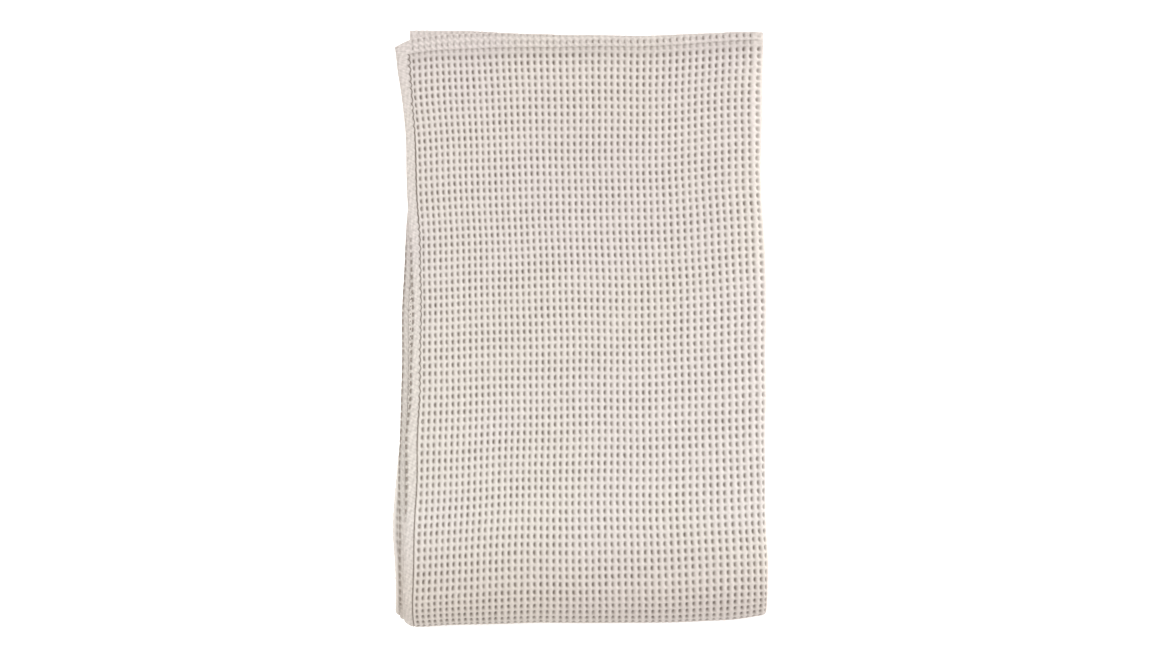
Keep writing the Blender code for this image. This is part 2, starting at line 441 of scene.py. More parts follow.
@dataclass(frozen=True)
class FoldedCloth:
    """The two folds of the sheet: across its width into a stack, then the stack along its length.

    Attributes:
        grid: The cells on the flat sheet.
        thickness: Thickness of the plain sheet.
        across: The zigzag across the width.
        along: The zigzag along the length, of the whole stack of four layers.
        rim_sag: Share of the height that is lost at the rims of the bundle.
        rim_sag_width: Width of the band along the rims that sags.
        wave_share: Share of the height that the slow waves take.
        waves: A row for each wave: radians per metre in x and y, and its start.
        detail_end: Place along where the top panel's own detail has faded out.
        drift_end: Row of cells on the near fold where the shift of the rows has faded out.
        stitch_column: Place of the side hem's stitch line, in cells.
        ripple: Size of the small shifts of the cloth in its own plane.
        ripples_x: Waves of the shift in x: radians per metre across and along, and the start.
        ripples_y: The same for the shift in y.
        box_steps: Steps across and along at which the plain sheet's box is measured.
    """

    grid: CellGrid = CellGrid()
    thickness: float = 0.0020
    across: Zigzag = Zigzag(
        pitch=0.0028,
        bulge=1.8,
        panel_run=0.3660,
        turn_runs=(0.0192, 0.0064, 0.0064),
        stretch=0.114,
    )
    along: Zigzag = Zigzag(
        pitch=0.0112,
        bulge=1.8,
        panel_run=0.5833,
        turn_runs=(0.0918, 0.0413, 0.0250),
        stretch=0.052,
    )
    rim_sag: float = 0.06
    rim_sag_width: float = 0.060
    wave_share: float = 0.006
    waves: tuple[tuple[float, float, float], ...] = ((17.0, 5.0, 0.6), (-9.0, 11.0, 2.1))
    detail_end: float = 1.3
    drift_end: float = 75.5
    stitch_column: float = -0.88
    ripple: float = 0.00025
    ripples_x: tuple[tuple[float, float, float], ...] = ((23.0, 31.0, 0.0), (-19.0, 71.0, 0.0))
    ripples_y: tuple[tuple[float, float, float], ...] = ((23.0, 31.0, 2.0), (67.0, -13.0, 0.0))
    box_steps: tuple[int, int] = (160, 240)

    @staticmethod
    def wave_sum(
        waves: tuple[tuple[float, float, float], ...], first: Array, second: Array
    ) -> Array:
        """Adds up sine waves over two coordinates."""
        return sum(np.sin(a * first + b * second + start) for a, b, start in waves)

    @staticmethod
    def turn_reach(strip: Zigzag, thickness: float, turn: int) -> float:
        """How far the skin of a turn stands out past the ends of its panels."""
        radius = abs(strip.LEVELS[turn] - strip.LEVELS[turn + 1]) / 2
        return float(strip.bulge * strip.pitch * radius + thickness / 2)

    @staticmethod
    def blend(place: Array, edges: list[Array]) -> Array:
        """Blends from one edge of a zigzag to the next in proportion to the place between them."""
        shares = [np.clip(1 - abs(place - index), 0, 1) for index in range(len(edges))]
        return sum(share * edge for share, edge in zip(shares, edges))

    def detail_share(self, along_place: Array) -> Array:
        """Share of the top panel's own detail: all of it there, and less on the underside."""
        return np.clip((self.detail_end - along_place) / (self.detail_end - 1), 0, 1)

    def side_edges(self, along_place: Array) -> list[Array]:
        """The x of the five edges of the zigzag across.

        Each fold's edge is drawn in by the reach of its turn, and the top panel's first two edges
        give way to the finer table.

        Args:
            along_place: Places along the cloth, in panels.

        Returns:
            The edges there, from the first hem to the last.
        """
        share = self.detail_share(along_place)
        edges = []
        for index, name in enumerate(SIDE_EDGES.names[1:]):
            edge = MM * SIDE_EDGES.read(name, along_place)
            if 0 < index < Zigzag.PANELS:
                reach = self.turn_reach(self.across, self.thickness, index - 1)
                edge = edge - reach if index % 2 == 1 else edge + reach
            if index < 2:
                detail = MM * TOP_COLUMNS.read(("edge", "fold_start")[index], along_place)
                edge = edge + share * (detail - edge)
            edges.append(edge)
        return edges

    def fold_growth(self, along_place: Array, fold_start: Array) -> Array:
        """How much further the first fold bulges than a plain turn, as a factor."""
        plain = self.turn_reach(self.across, self.thickness, 0) - self.thickness / 2
        outer = MM * SIDE_EDGES.read("outer_fold", along_place)
        return (outer - fold_start - self.thickness / 2) / plain

    @staticmethod
    def drift(run: Array, anchors: list[tuple[Any, Any]]) -> Array:
        """Blends shifts that are known at some runs, with straight lines between them.

        Args:
            run: Runs to shift.
            anchors: Run and shift of each anchor in order, of which the first and last shift is 0.

        Returns:
            The shift at each run.
        """
        total = 0.0
        for (before, _), (at, shift), (after, _) in zip(anchors, anchors[1:], anchors[2:]):
            share = np.minimum((run - before) / (at - before), (after - run) / (after - at))
            total = total + np.clip(share, 0, 1) * shift
        return total

    def column_drift(self, across: Stations, along_place: Array, edges: list[Array]) -> Array:
        """Shift of the top layer across, so that its columns lie where the table has them.

        Args:
            across: Stations across.
            along_place: Places along, in panels.
            edges: The zigzag's edges there.

        Returns:
            The shift in x.
        """
        strip, grid = self.across, self.grid
        anchors: list[tuple[Any, Any]] = [(0.0, 0.0)]
        for name in TOP_COLUMNS.names[2:-1]:
            number = name.removeprefix("column_")
            column = float(number) if number.isdigit() else self.stitch_column
            run = float(grid.column_run(column))
            even = edges[0] + strip.spread(run / strip.panel_run) * (edges[1] - edges[0])
            anchors.append((run, MM * TOP_COLUMNS.read(name, along_place) - even))
        anchors.append((strip.panel_run, 0.0))
        return self.detail_share(along_place) * self.drift(across.run, anchors)

    def row_drift(self, x: Array, across_place: Array, run: Array, edges: list[Array]) -> Array:
        """Shift of the first stack along, so that its rows lie where the table has them.

        Args:
            x: Side places.
            across_place: Places across, in panels.
            run: Runs along.
            edges: The edges of the zigzag along.

        Returns:
            The shift in y.
        """
        strip = self.along
        anchors: list[tuple[Any, Any]] = [(0.0, 0.0)]
        for name in TOP_ROWS.names[1:]:
            at = self.grid.row_run(float(name.removeprefix("row_")), across_place)
            even = edges[0] + strip.spread(at / strip.panel_run) * (edges[1] - edges[0])
            anchors.append((at, MM * TOP_ROWS.read(name, x / MM) - even))
        anchors.append((float(self.grid.row_run(self.drift_end, 0.5)), 0.0))
        return self.drift(run, anchors)

    def end_edges(self, x: Array, across_place: Array) -> list[Array]:
        """The y of the five edges of the zigzag along.

        The top layer's hem has a line of its own, which gives way to that of the layers below over
        half a panel. Each fold's edge is drawn in by the reach of its turn.

        Args:
            x: Side places.
            across_place: Places across, in panels.

        Returns:
            The edges there, from the first hem to the last.
        """
        read = {name: MM * END_EDGES.read(name, x / MM) for name in END_EDGES.names[1:]}
        top_layer = np.clip(2 - across_place * 2, 0, 1)
        first = read["hem_below"] + top_layer * (read["top_hem"] - read["hem_below"])
        stack = (self.across.PANELS - 1) * self.across.pitch + self.thickness
        edges = [first]
        for index, name in enumerate(("near_fold", "far_fold", "inner_fold")):
            reach = self.turn_reach(self.along, stack, index)
            edges.append(read[name] + reach if index % 2 == 0 else read[name] - reach)
        edges.append(read["last_hem"])
        return edges

    def raw_points(self, across: Stations, along: Stations, offset: Array, half: Array) -> Array:
        """Places of a patch before it sags.

        x is the blend of the side edges plus the reach of the turn across, and the level in the
        stack is the station's own plus its lift times the offset. The stack's middle plane then
        follows the second zigzag, with that level as the offset from it.

        Args:
            across: Stations across, as a row.
            along: Stations along, as a column or a full grid.
            offset: Signed distance from the sheet's middle plane, towards the face.
            half: Half thickness of the cloth, for the rims.

        Returns:
            Points, as a grid of rows along and columns across.
        """
        edges = self.side_edges(along.place)
        x = self.blend(across.place, edges) + self.column_drift(across, along.place, edges)
        growth = self.fold_growth(along.place, edges[1]) - 1
        out = across.out * (1 + np.clip(1 - abs(across.place - 1), 0, 1) * growth)
        x = x + out + across.push * offset - across.brim * half
        middle = (self.across.PANELS - 1) * self.across.pitch / 2
        depth = across.level + across.lift * offset - middle
        edges = self.end_edges(x, across.place)
        y = self.blend(along.place, edges)
        y = y + self.row_drift(x, across.place, along.run, edges)
        y = y - along.out - along.push * depth + along.brim * half
        z = middle + self.thickness / 2 + along.level + along.lift * depth
        x = x + self.ripple * self.wave_sum(self.ripples_x, across.run, along.run)
        y = y + self.ripple * self.wave_sum(self.ripples_y, across.run, along.run)
        return np.stack(np.broadcast_arrays(x, y, z), axis=-1)

    def box(self) -> tuple[Array, Array]:
        """Measures the plain sheet before it sags.

        Returns:
            The low and the high corner of its box.
        """
        columns, rows = self.box_steps
        across = self.across.stations(np.linspace(0, self.across.length, columns + 1))
        along = self.along.stations(as_column(np.linspace(0, self.along.length, rows + 1)))
        half = np.array(self.thickness / 2)
        skins = [self.raw_points(across, along, side.value * half, 0 * half) for side in Skin]
        points = np.concatenate(skins)
        return points.min(axis=(0, 1)), points.max(axis=(0, 1))

    def points(self, across: Stations, along: Stations, offset: Array, half: Array) -> Array:
        """Places of a patch, sagging towards the rims and flat on the surface.

        The height is scaled by one minus the rim sag times the squared nearness to a rim, plus
        slow waves over the bundle, and nothing lies below the surface.

        Args:
            across: Stations across, as a row.
            along: Stations along, as a column or a full grid.
            offset: Signed distance from the sheet's middle plane, towards the face.
            half: Half thickness of the cloth, for the rims.

        Returns:
            Points about the middle of the bundle, as a grid.
        """
        low, high = self.box()
        raw = self.raw_points(across, along, offset, half)
        x, y, z = np.moveaxis(raw, -1, 0)
        inward = np.minimum.reduce([x - low[0], high[0] - x, y - low[1], high[1] - y])
        nearness = np.clip(1 - inward / self.rim_sag_width, 0, 1)
        waves = self.wave_sum(self.waves, x, y)
        share = 1 - self.rim_sag * nearness**2 + self.wave_share * waves
        middle = (low + high) / 2
        return np.stack([x - middle[0], y - middle[1], np.maximum(z * share, 0.0)], axis=-1)


def changes(value: Array, spells: tuple[tuple[float, float, float], ...]) -> Array:
    """Adds up smooth changes, each with the values where it starts and ends and its size."""
    return sum(size * smooth_step(start, end, value) for start, end, size in spells)


@dataclass(frozen=True)
class Cells:
    """The hollows of the weave and the walls between them, with all sizes in cells.

    Attributes:
        wall: Where a hollow ends at the wall beside it, from its middle.
        cross_wall: Where the slope up to a cross wall starts and ends.
        cross_ridge: Height of the cross walls, as a share of the others.
        steep: How much steeper a hollow is on its left and near sides.
        left_of_line: How far a hollow lies left of the grid's own line.
        near_of_line: How far it lies on the near side of it.
        meander: Shift of a wall between two cross walls.
        dent: Depth of the shallow dent in a wall, as a share of the cell's depth.
        dent_at: Place of the dent from the hollow's middle, across and along.
        dent_radius: Radius of the dent.
        lean: Lean of a hollow by chance.
        usual_lean: The lean that all hollows share, in parts of that chance.
        jitter: Shift of a hollow by chance.
        size_change: Change of its width by chance.
        uneven: Change of its depth, as a share.
        swell: Slow wave of that change over the columns and rows, in radians per cell.
        seed: Seed of the chance.
        repeat: Columns and rows after which the chance repeats.
        streak_row: Row of the draws that also fills whole columns.
    """

    wall: float = 0.395
    cross_wall: tuple[float, float] = (0.12, 0.45)
    cross_ridge: float = 0.90
    steep: float = 0.06
    left_of_line: float = 0.145
    near_of_line: float = 0.066
    meander: float = 0.05
    dent: float = 0.10
    dent_at: tuple[float, float] = (0.35, -0.38)
    dent_radius: float = 0.20
    lean: float = 0.10
    usual_lean: float = 0.4
    jitter: float = 0.035
    size_change: float = 0.02
    uneven: float = 0.16
    swell: tuple[float, float] = (0.21, 0.9)
    seed: int = 7
    repeat: tuple[int, int] = (257, 353)
    streak_row: int = 7

    def dents(self, across: Array, along: Array) -> Array:
        """Shallow dents in the walls, as a bell about the dent's place in each cell."""
        u, v = across - self.dent_at[0], along - self.dent_at[1]
        return hump(u - np.rint(u), 0, self.dent_radius) * hump(v - np.rint(v), 0, self.dent_radius)

    def height(self, column: Array, row: Array) -> Array:
        """Height of the weave, 0 in the middle of a hollow and 1 on a wall that runs along.

        One minus the product of two hollows: one across the column, which is steeper on its left,
        and one along the row, which is steeper on its near side and not as high at its rim. The
        walls swing a little to the right at each cross wall, and a shallow dent lies in the wall
        at a hollow's far right corner. Chance shifts, leans and fills each hollow a little.

        Args:
            column: Cell coordinate across, a whole number in the middle of a cell.
            row: Cell coordinate along.

        Returns:
            The height.
        """
        draws = np.random.default_rng(self.seed).normal(size=(5, *self.repeat)).clip(-2, 2) / 2
        i, j = np.rint(column).astype(int), np.rint(row).astype(int)
        draw_i, draw_j = i % self.repeat[0], j % self.repeat[1]
        shift_u, shift_v, fill, tilt, size = draws[:, draw_i, draw_j]
        swell = np.sin(self.swell[1] * j + self.swell[0] * i)
        fill = fill + 0.5 * draws[0, draw_i, self.streak_row] + 0.5 * swell
        across, along = column - i, row - j
        dents = self.dents(across, along)
        across = across - self.meander * (1 - np.cos(2 * np.pi * along))
        across = across - self.jitter * shift_u + self.lean * (tilt + self.usual_lean) * along
        across = across + self.left_of_line
        along = along - self.jitter * shift_v - self.near_of_line
        right, near = self.steep * np.sign(across), self.steep * np.sign(along)
        wall = smooth_step(-right, self.wall + right + self.size_change * size, abs(across))
        start, end = self.cross_wall
        cross = smooth_step(start, end - near / 2, abs(along)) * self.cross_ridge
        hollow = (1 - wall) * (1 - cross) * (1 - self.uneven * (0.5 + 0.5 * fill))
        return 1 - hollow - self.dent * dents * (1 - hollow)


@dataclass(frozen=True)
class Hems:
    """The bands along the cloth's edges, turned in, pressed flat and sewn down.

    Attributes:
        half: Half thickness of a hem.
        side: Width of the side hems.
        end_left: Width of the end hems at the left of the bundle.
        end_right: The same at the right.
        slope: Where the slope from a hem to the cells starts and ends, from the hem's line.
        row_pitch: Pitch of the rows on an end hem, as a share of the pitch elsewhere.
        rim_rows: Row where the outer rows of an end hem start.
        rim_dots: Share of the hollows' depth that is left in those rows.
        line_dots: The same beside the stitch line, at the left.
        more_dots: How much more it is at the right.
        dots: Depth of the hollows on an end hem where all of it is left.
        rib: Height of the slanting ribs between them, which halves towards the right.
        rib_slant: Columns that a rib goes across in a row.
        mottle: Height of the uneven surface of a side hem.
        mottle_waves: Its waves: turns in a row, turns in a column and swing.
        mottle_swing: Speed of that swing, in radians per row.
    """

    half: float = 0.00125
    side: float = 0.0090
    end_left: float = 0.0166
    end_right: float = 0.0090
    slope: tuple[float, float] = (-0.0006, 0.0008)
    row_pitch: float = 0.87
    rim_rows: float = -2.0
    rim_dots: float = 0.48
    line_dots: float = 0.50
    more_dots: float = 0.35
    dots: float = 0.0012
    rib: float = 0.00018
    rib_slant: float = 1.2
    mottle: float = 0.00010
    mottle_waves: tuple[tuple[float, float, float], ...] = (
        (1.1, 0.9, 0.0),
        (2.3, -1.4, 1.0),
        (0.37, 2.1, 0.0),
    )
    mottle_swing: float = 1.3

    def end(self, from_left: Array) -> Array:
        """Width of the end hem at a share of the way from the left."""
        return self.end_left + from_left * (self.end_right - self.end_left)

    def share(self, width: float | Array, from_edge: Array) -> Array:
        """Share of a hem of a given width, 1 on the hem and 0 on the cells."""
        start, end = self.slope
        return 1 - smooth_step(width + start, width + end, from_edge)

    def ribs(self, column: Array, row: Array) -> Array:
        """Slanting ribs on an end hem, from -1 to 1."""
        return np.sin(2 * np.pi * (column - self.rib_slant * row))

    def uneven(self, column: Array, row: Array) -> Array:
        """Uneven surface of a pressed hem: half the sum of its waves.

        Args:
            column: Cell coordinate across.
            row: Cell coordinate along.

        Returns:
            The height, from about -1 to 1.
        """
        swing = np.sin(self.mottle_swing * row)
        total = 0.0
        for per_row, per_column, share in self.mottle_waves:
            turns = per_row * row + per_column * column
            total = total + np.sin(2 * np.pi * turns + share * swing)
        return total / 2

    def dots_left(self, row: Array, from_left: Array) -> Array:
        """Share of the hollows' depth that is left on an end hem."""
        beside_line = self.line_dots + self.more_dots * from_left
        return np.where(np.rint(row) < self.rim_rows, self.rim_dots, beside_line)


@dataclass(frozen=True)
class Spot:
    """Where the points of a patch lie on the flat sheet, as arrays.

    Attributes:
        column: Cell coordinate across.
        row: Cell coordinate along, below 0 on the first end hem.
        from_side: Cloth from the nearer side edge.
        from_end: Cloth from the nearer end edge.
        from_left: Share of the way from the left of the bundle to the right.
        last_half: Whether the point is in the half of the cloth with the last side hem.
        end_hem: Width of the end hem.
        on_side: Share of a side hem.
        on_end: Share of an end hem.
        ribs: Slanting ribs of an end hem.
        uneven: Uneven surface of a hem.
    """

    column: Array
    row: Array
    from_side: Array
    from_end: Array
    from_left: Array
    last_half: Array
    end_hem: Array
    on_side: Array
    on_end: Array
    ribs: Array
    uneven: Array


@dataclass(frozen=True)
class Stitches:
    """The lines where the hems are sewn down.

    Attributes:
        groove: Depth of a side hem's line.
        end_groove: Depth of an end hem's line, as a share of that.
        radius: Radius of a side hem's line.
        end_radius: Radius of an end hem's line.
        swing: How far a side hem's line swings to either side.
        calm: Where it swings less: rows where a change starts and ends, and the share.
        late: How early or late its turns come, in radians, and the speed of that over the rows.
        change: Share by which the swing changes, and the speed of that.
        end_swing: How far an end hem's line swings.
        broken: Middle and change of the share of that line which shows.
        broken_at: Place of its dashes in a column.
        broken_speed: Speed of that change over the columns.
    """

    groove: float = 0.0010
    end_groove: float = 0.7
    radius: float = 0.0006
    end_radius: float = 0.0008
    swing: float = 0.0012
    calm: tuple[tuple[float, float, float], ...] = (
        (7.0, 11.0, 0.7),
        (19.0, 24.0, -0.7),
        (43.0, 50.0, 0.9),
    )
    late: tuple[float, float] = (0.5, 1.9)
    change: tuple[float, float] = (0.2, 2.3)
    end_swing: float = 0.0004
    broken: tuple[float, float] = (0.55, 0.45)
    broken_at: float = 0.1
    broken_speed: float = 0.9

    def wave(self, row: Array) -> Array:
        """Swing of a side hem's line: a zigzag that turns at each row and is calm in spells.

        Args:
            row: Cell coordinate along.

        Returns:
            The swing, towards the cells.
        """
        late = self.late[0] * np.sin(self.late[1] * row)
        turns = np.arcsin(np.sin(2 * np.pi * row + late)) / (np.pi / 2)
        share = 1 - self.change[0] + self.change[0] * np.sin(self.change[1] * row)
        return self.swing * (1 - changes(row, self.calm)) * turns * share

    def side_line(self, spot: Spot, hems: Hems) -> Array:
        """A side hem's line, a bell about its wave, between the end hems."""
        line = hump(spot.from_side, hems.side + self.wave(spot.row), self.radius)
        return line * (spot.from_end > spot.end_hem)

    def end_line(self, spot: Spot, hems: Hems) -> Array:
        """An end hem's line, broken into dashes, between the side hems.

        Args:
            spot: Where the points lie.
            hems: The hems.

        Returns:
            The line, 1 in its middle.
        """
        dashes = np.cos(2 * np.pi * (spot.column - self.broken_at))
        shown = self.broken[0] + self.broken[1] * dashes * np.sin(self.broken_speed * spot.column)
        middle = spot.end_hem + self.end_swing * np.sin(2 * np.pi * spot.column)
        return hump(spot.from_end, middle, self.end_radius) * shown * (spot.from_side > hems.side)


@dataclass(frozen=True)
class ShadesAndTones:
    """How much of the hollows' darkness other places take: painted shade on the hems' rims, dots
    and stitch lines, painted light by the right fold, and the hems' own tones.

    Attributes:
        hem: The hems, for their closer weave.
        rim: Painted shade on the rolled rim of a hem.
        rim_shade_radius: Half width of that painted shade.
        dots: Painted shade in the dots on an end hem.
        ribs: The slanting ribs on an end hem, at the left.
        ribs_less: How much less it is at the right.
        uneven: The uneven surface of a side hem.
        dashes: The dashes on the rim of a side hem: whip stitches, with the painted shadow of the
            hem's edge on the layer below.
        dash_rise: Height of the wave along the rim at which a dash starts and is full.
        dash_lean: Lean of the dashes, in radians per metre inwards.
        dash_rows: Rows where the dashes start.
        dash_ends: Row where they end, on the first side hem and on the last one.
        dash_fade: Rows over which they end.
        stitch: Painted shade in a side hem's stitched groove.
        bold: Where that line is bolder: rows where a change starts and ends, and the share.
        end_stitch: Painted shade in an end hem's stitched groove.
        shade_beside_end: Painted shade on the cells beside an end hem.
        beside_reach: How far that reaches.
        painted_light_right: Painted light that makes the hollows lighter towards the fold at the
            right.
        right_columns: Columns over which that painted light grows.
    """

    hem: float = 0.06
    rim: float = 0.12
    rim_shade_radius: float = 0.0011
    dots: float = 0.95
    ribs: float = 0.07
    ribs_less: float = 0.04
    uneven: float = 0.08
    dashes: float = 0.80
    dash_rise: tuple[float, float] = (-0.9, 0.3)
    dash_lean: float = 500.0
    dash_rows: tuple[float, float] = (22.0, 27.0)
    dash_ends: tuple[float, float] = (58.0, 70.0)
    dash_fade: float = 4.0
    stitch: float = 0.62
    bold: tuple[tuple[float, float, float], ...] = (
        (9.0, 13.0, 0.4),
        (19.0, 24.0, -0.4),
        (44.0, 50.0, -0.35),
    )
    end_stitch: float = 0.20
    shade_beside_end: float = 0.18
    beside_reach: float = 0.012
    painted_light_right: float = 0.14
    right_columns: tuple[float, float] = (51.0, 56.0)

    def rim_dashes(self, spot: Spot) -> Array:
        """Dashes on the rim of a side hem, one to a row, over a stretch of the rows: whip stitches
        with painted shadow.

        Args:
            spot: Where the points lie.

        Returns:
            The dashes, from 0 to 1.
        """
        last = np.where(spot.last_half, self.dash_ends[1], self.dash_ends[0])
        laid = smooth_step(*self.dash_rows, spot.row)
        laid = laid * (1 - smooth_step(last, last + self.dash_fade, spot.row))
        wave = np.sin(2 * np.pi * spot.row + self.dash_lean * spot.from_side)
        return laid * smooth_step(*self.dash_rise, wave)

    def total(
        self, spot: Spot, hems: Hems, dip: Array, dots: Array, side_line: Array, end_line: Array
    ) -> Array:
        """Adds up the tones of the hems, their ribs and uneven surface, the painted shade of their
        rims, dots and stitch lines and beside the end hems, and the painted light by the right
        fold.

        Args:
            spot: Where the points lie.
            hems: The hems.
            dip: Depth of the cells, from 0 to 1.
            dots: The same for what is left of them on an end hem.
            side_line: The side hems' stitch line.
            end_line: The end hems' stitch line.

        Returns:
            The tone, to be added to the hollowness.
        """
        hem = np.maximum(spot.on_side, spot.on_end)
        # Painted shade along the rolled rims of the side and end hems.
        side_rim = hump(spot.from_side, hems.half, self.rim_shade_radius)
        rim = np.maximum(side_rim, hump(spot.from_end, hems.half, self.rim_shade_radius))
        # Whip stitches with painted shadow along the side hems' rims.
        dashes = side_rim * self.rim_dashes(spot)
        tone = self.hem * hem + self.rim * rim + self.dashes * dashes
        ribs = (self.ribs - self.ribs_less * spot.from_left) * spot.ribs
        # Painted shade in the end hem's dots, less the tone of its ribs.
        tone = tone + spot.on_end * (self.dots * dots - ribs)
        tone = tone - self.uneven * spot.on_side * spot.uneven
        bold = 1 + changes(spot.row, self.bold)
        # Painted shade in the stitched grooves of the hems.
        tone = tone + self.stitch * bold * side_line + self.end_stitch * end_line
        # Painted shade in a band along the end hem's line.
        beside = hump(spot.from_end, spot.end_hem, self.beside_reach)
        tone = tone + self.shade_beside_end * (1 - hem) * beside
        # Painted light: the hollows grow lighter towards the fold at the right.
        lighter = smooth_step(*self.right_columns, spot.column)
        return tone - self.painted_light_right * dip * (1 - hem) * lighter


@dataclass(frozen=True)
class Relief:
    """What the weave adds to a patch of the plain sheet, as arrays.

    Attributes:
        offset: Offset of the skin from the sheet's middle plane.
        hollow: Painted shade of the hollows, from 0 to 1.
        hem: Share of a hem.
        column: Cell coordinate across.
        row: Cell coordinate along.
    """

    offset: Array
    hollow: Array
    hem: Array
    column: Array
    row: Array


@dataclass(frozen=True)
class WaffleWeave:
    """The relief of the weave: cells with raised walls, and the flat bands of the hems.

    Attributes:
        grid: The cells on the flat sheet.
        cells: The form of a cell.
        hems: The hems.
        stitches: Their stitch lines.
        tones: How dark all of them are: their painted shade, and the hems' own tones.
        ridge: Height of the walls above the sheet's middle plane.
        pit: Depth of the cells below it.
        pressed_row: Row of cells under the stitches of an end hem.
        pressed: How much shallower that row is.
    """

    grid: CellGrid = CellGrid()
    cells: Cells = Cells()
    hems: Hems = Hems()
    stitches: Stitches = Stitches()
    tones: ShadesAndTones = ShadesAndTones()
    ridge: float = 0.00150
    pit: float = 0.00115
    pressed_row: float = -1.0
    pressed: float = 0.45

    def spot(self, cloth: FoldedCloth, across: Stations, along: Stations) -> Spot:
        """Where the points of a patch lie on the flat sheet.

        Args:
            cloth: The folded cloth.
            across: Stations across, as a row.
            along: Stations along, as a column or a full grid.

        Returns:
            The cell coordinates, the distances from the edges and the shares of the hems.
        """
        column = self.grid.column_at(across.run)
        row = self.grid.row_at(along.run, across.place)
        row = np.where(row < 0, row / self.hems.row_pitch, row)
        column, row = np.broadcast_arrays(column, row)
        width, length = cloth.across.length, cloth.along.length
        from_side = np.minimum(across.run, width - across.run)
        from_end = np.minimum(along.run, length - along.run)
        from_left = self.grid.from_left(across.place)
        end_hem = self.hems.end(from_left)
        return Spot(
            column=column,
            row=row,
            from_side=from_side,
            from_end=from_end,
            from_left=from_left,
            last_half=across.run >= width / 2,
            end_hem=end_hem,
            on_side=self.hems.share(self.hems.side, from_side),
            on_end=self.hems.share(end_hem, from_end),
            ribs=self.hems.ribs(column, row),
            uneven=self.hems.uneven(column, row),
        )

    def relief(
        self, cloth: FoldedCloth, across: Stations, along: Stations, shown: float
    ) -> Relief:
        """Offset of the skin from the sheet's middle plane, and what its finish needs.

        The waffle is the ridge height less the depth of the cells. On an end hem it is pressed
        flat, and only small dents are left of its rows, which lie closer there. A side hem is
        plain. Both end in a groove where they are sewn down, broken on an end hem.

        Args:
            cloth: The folded cloth.
            across: Stations across, as a row.
            along: Stations along, as a column or a full grid.
            shown: Depth of the relief, 1 where it is free and less where layers press on it.

        Returns:
            The relief.
        """
        spot, hems = self.spot(cloth, across, along), self.hems
        dip = 1 - self.cells.height(spot.column, spot.row)
        pressed = 1 - self.pressed * (np.rint(spot.row) == self.pressed_row)
        ridge = hems.half + shown * (self.ridge - hems.half)
        depth = shown * (self.ridge + self.pit)
        waffle = ridge - depth * dip * pressed
        dots = dip**2 * (1 - spot.on_side) * hems.dots_left(spot.row, spot.from_left) * shown
        end_band = hems.half - hems.dots * dots + hems.rib * spot.ribs * (1 - 0.5 * spot.from_left)
        side_band = hems.half + hems.mottle * spot.uneven
        offset = waffle + spot.on_end * (end_band - waffle)
        offset = offset + spot.on_side * (side_band - offset)
        side_line = self.stitches.side_line(spot, hems)
        end_line = self.stitches.end_line(spot, hems)
        lines = np.maximum(side_line, self.stitches.end_groove * end_line)
        offset = offset - self.stitches.groove * lines
        tone = self.tones.total(spot, hems, dip, dots, side_line, end_line)
        # Painted shade: the deeper the skin lies below the walls, the darker its colour, plus the
        # painted tones.
        hollow = np.clip((ridge - offset) / (self.ridge + self.pit) + tone, 0, 1)
        hem = np.maximum(spot.on_side, spot.on_end)
        return Relief(offset, hollow, hem, spot.column, spot.row)


class Socket:
    """A shader value that takes part in sums: an expression on it adds Math nodes."""

    def __init__(self, nodes: "ShaderNodes", output: Any) -> None:
        """Wraps an output socket of a node tree."""
        self.nodes = nodes
        self.output = output

    def math(self, operation: str, first: Any, second: Any = None) -> "Socket":
        """One Math node on one or two values or sockets."""
        inputs = {0: first} if second is None else {0: first, 1: second}
        return self.nodes.add("ShaderNodeMath", {"operation": operation}, inputs)

    def __add__(self, other: Any) -> "Socket":
        """The sum."""
        return self.math("ADD", self, other)

    __radd__ = __add__

    def __sub__(self, other: Any) -> "Socket":
        """The difference."""
        return self.math("SUBTRACT", self, other)

    def __rsub__(self, other: Any) -> "Socket":
        """The difference from a number."""
        return self.math("SUBTRACT", other, self)

    def __mul__(self, other: Any) -> "Socket":
        """The product."""
        return self.math("MULTIPLY", self, other)

    __rmul__ = __mul__

    def __pow__(self, other: Any) -> "Socket":
        """The power."""
        return self.math("POWER", self, other)

    def sine(self) -> "Socket":
        """The sine."""
        return self.math("SINE", self)

    def at_least(self, other: Any) -> "Socket":
        """The larger of this value and another one."""
        return self.math("MAXIMUM", self, other)


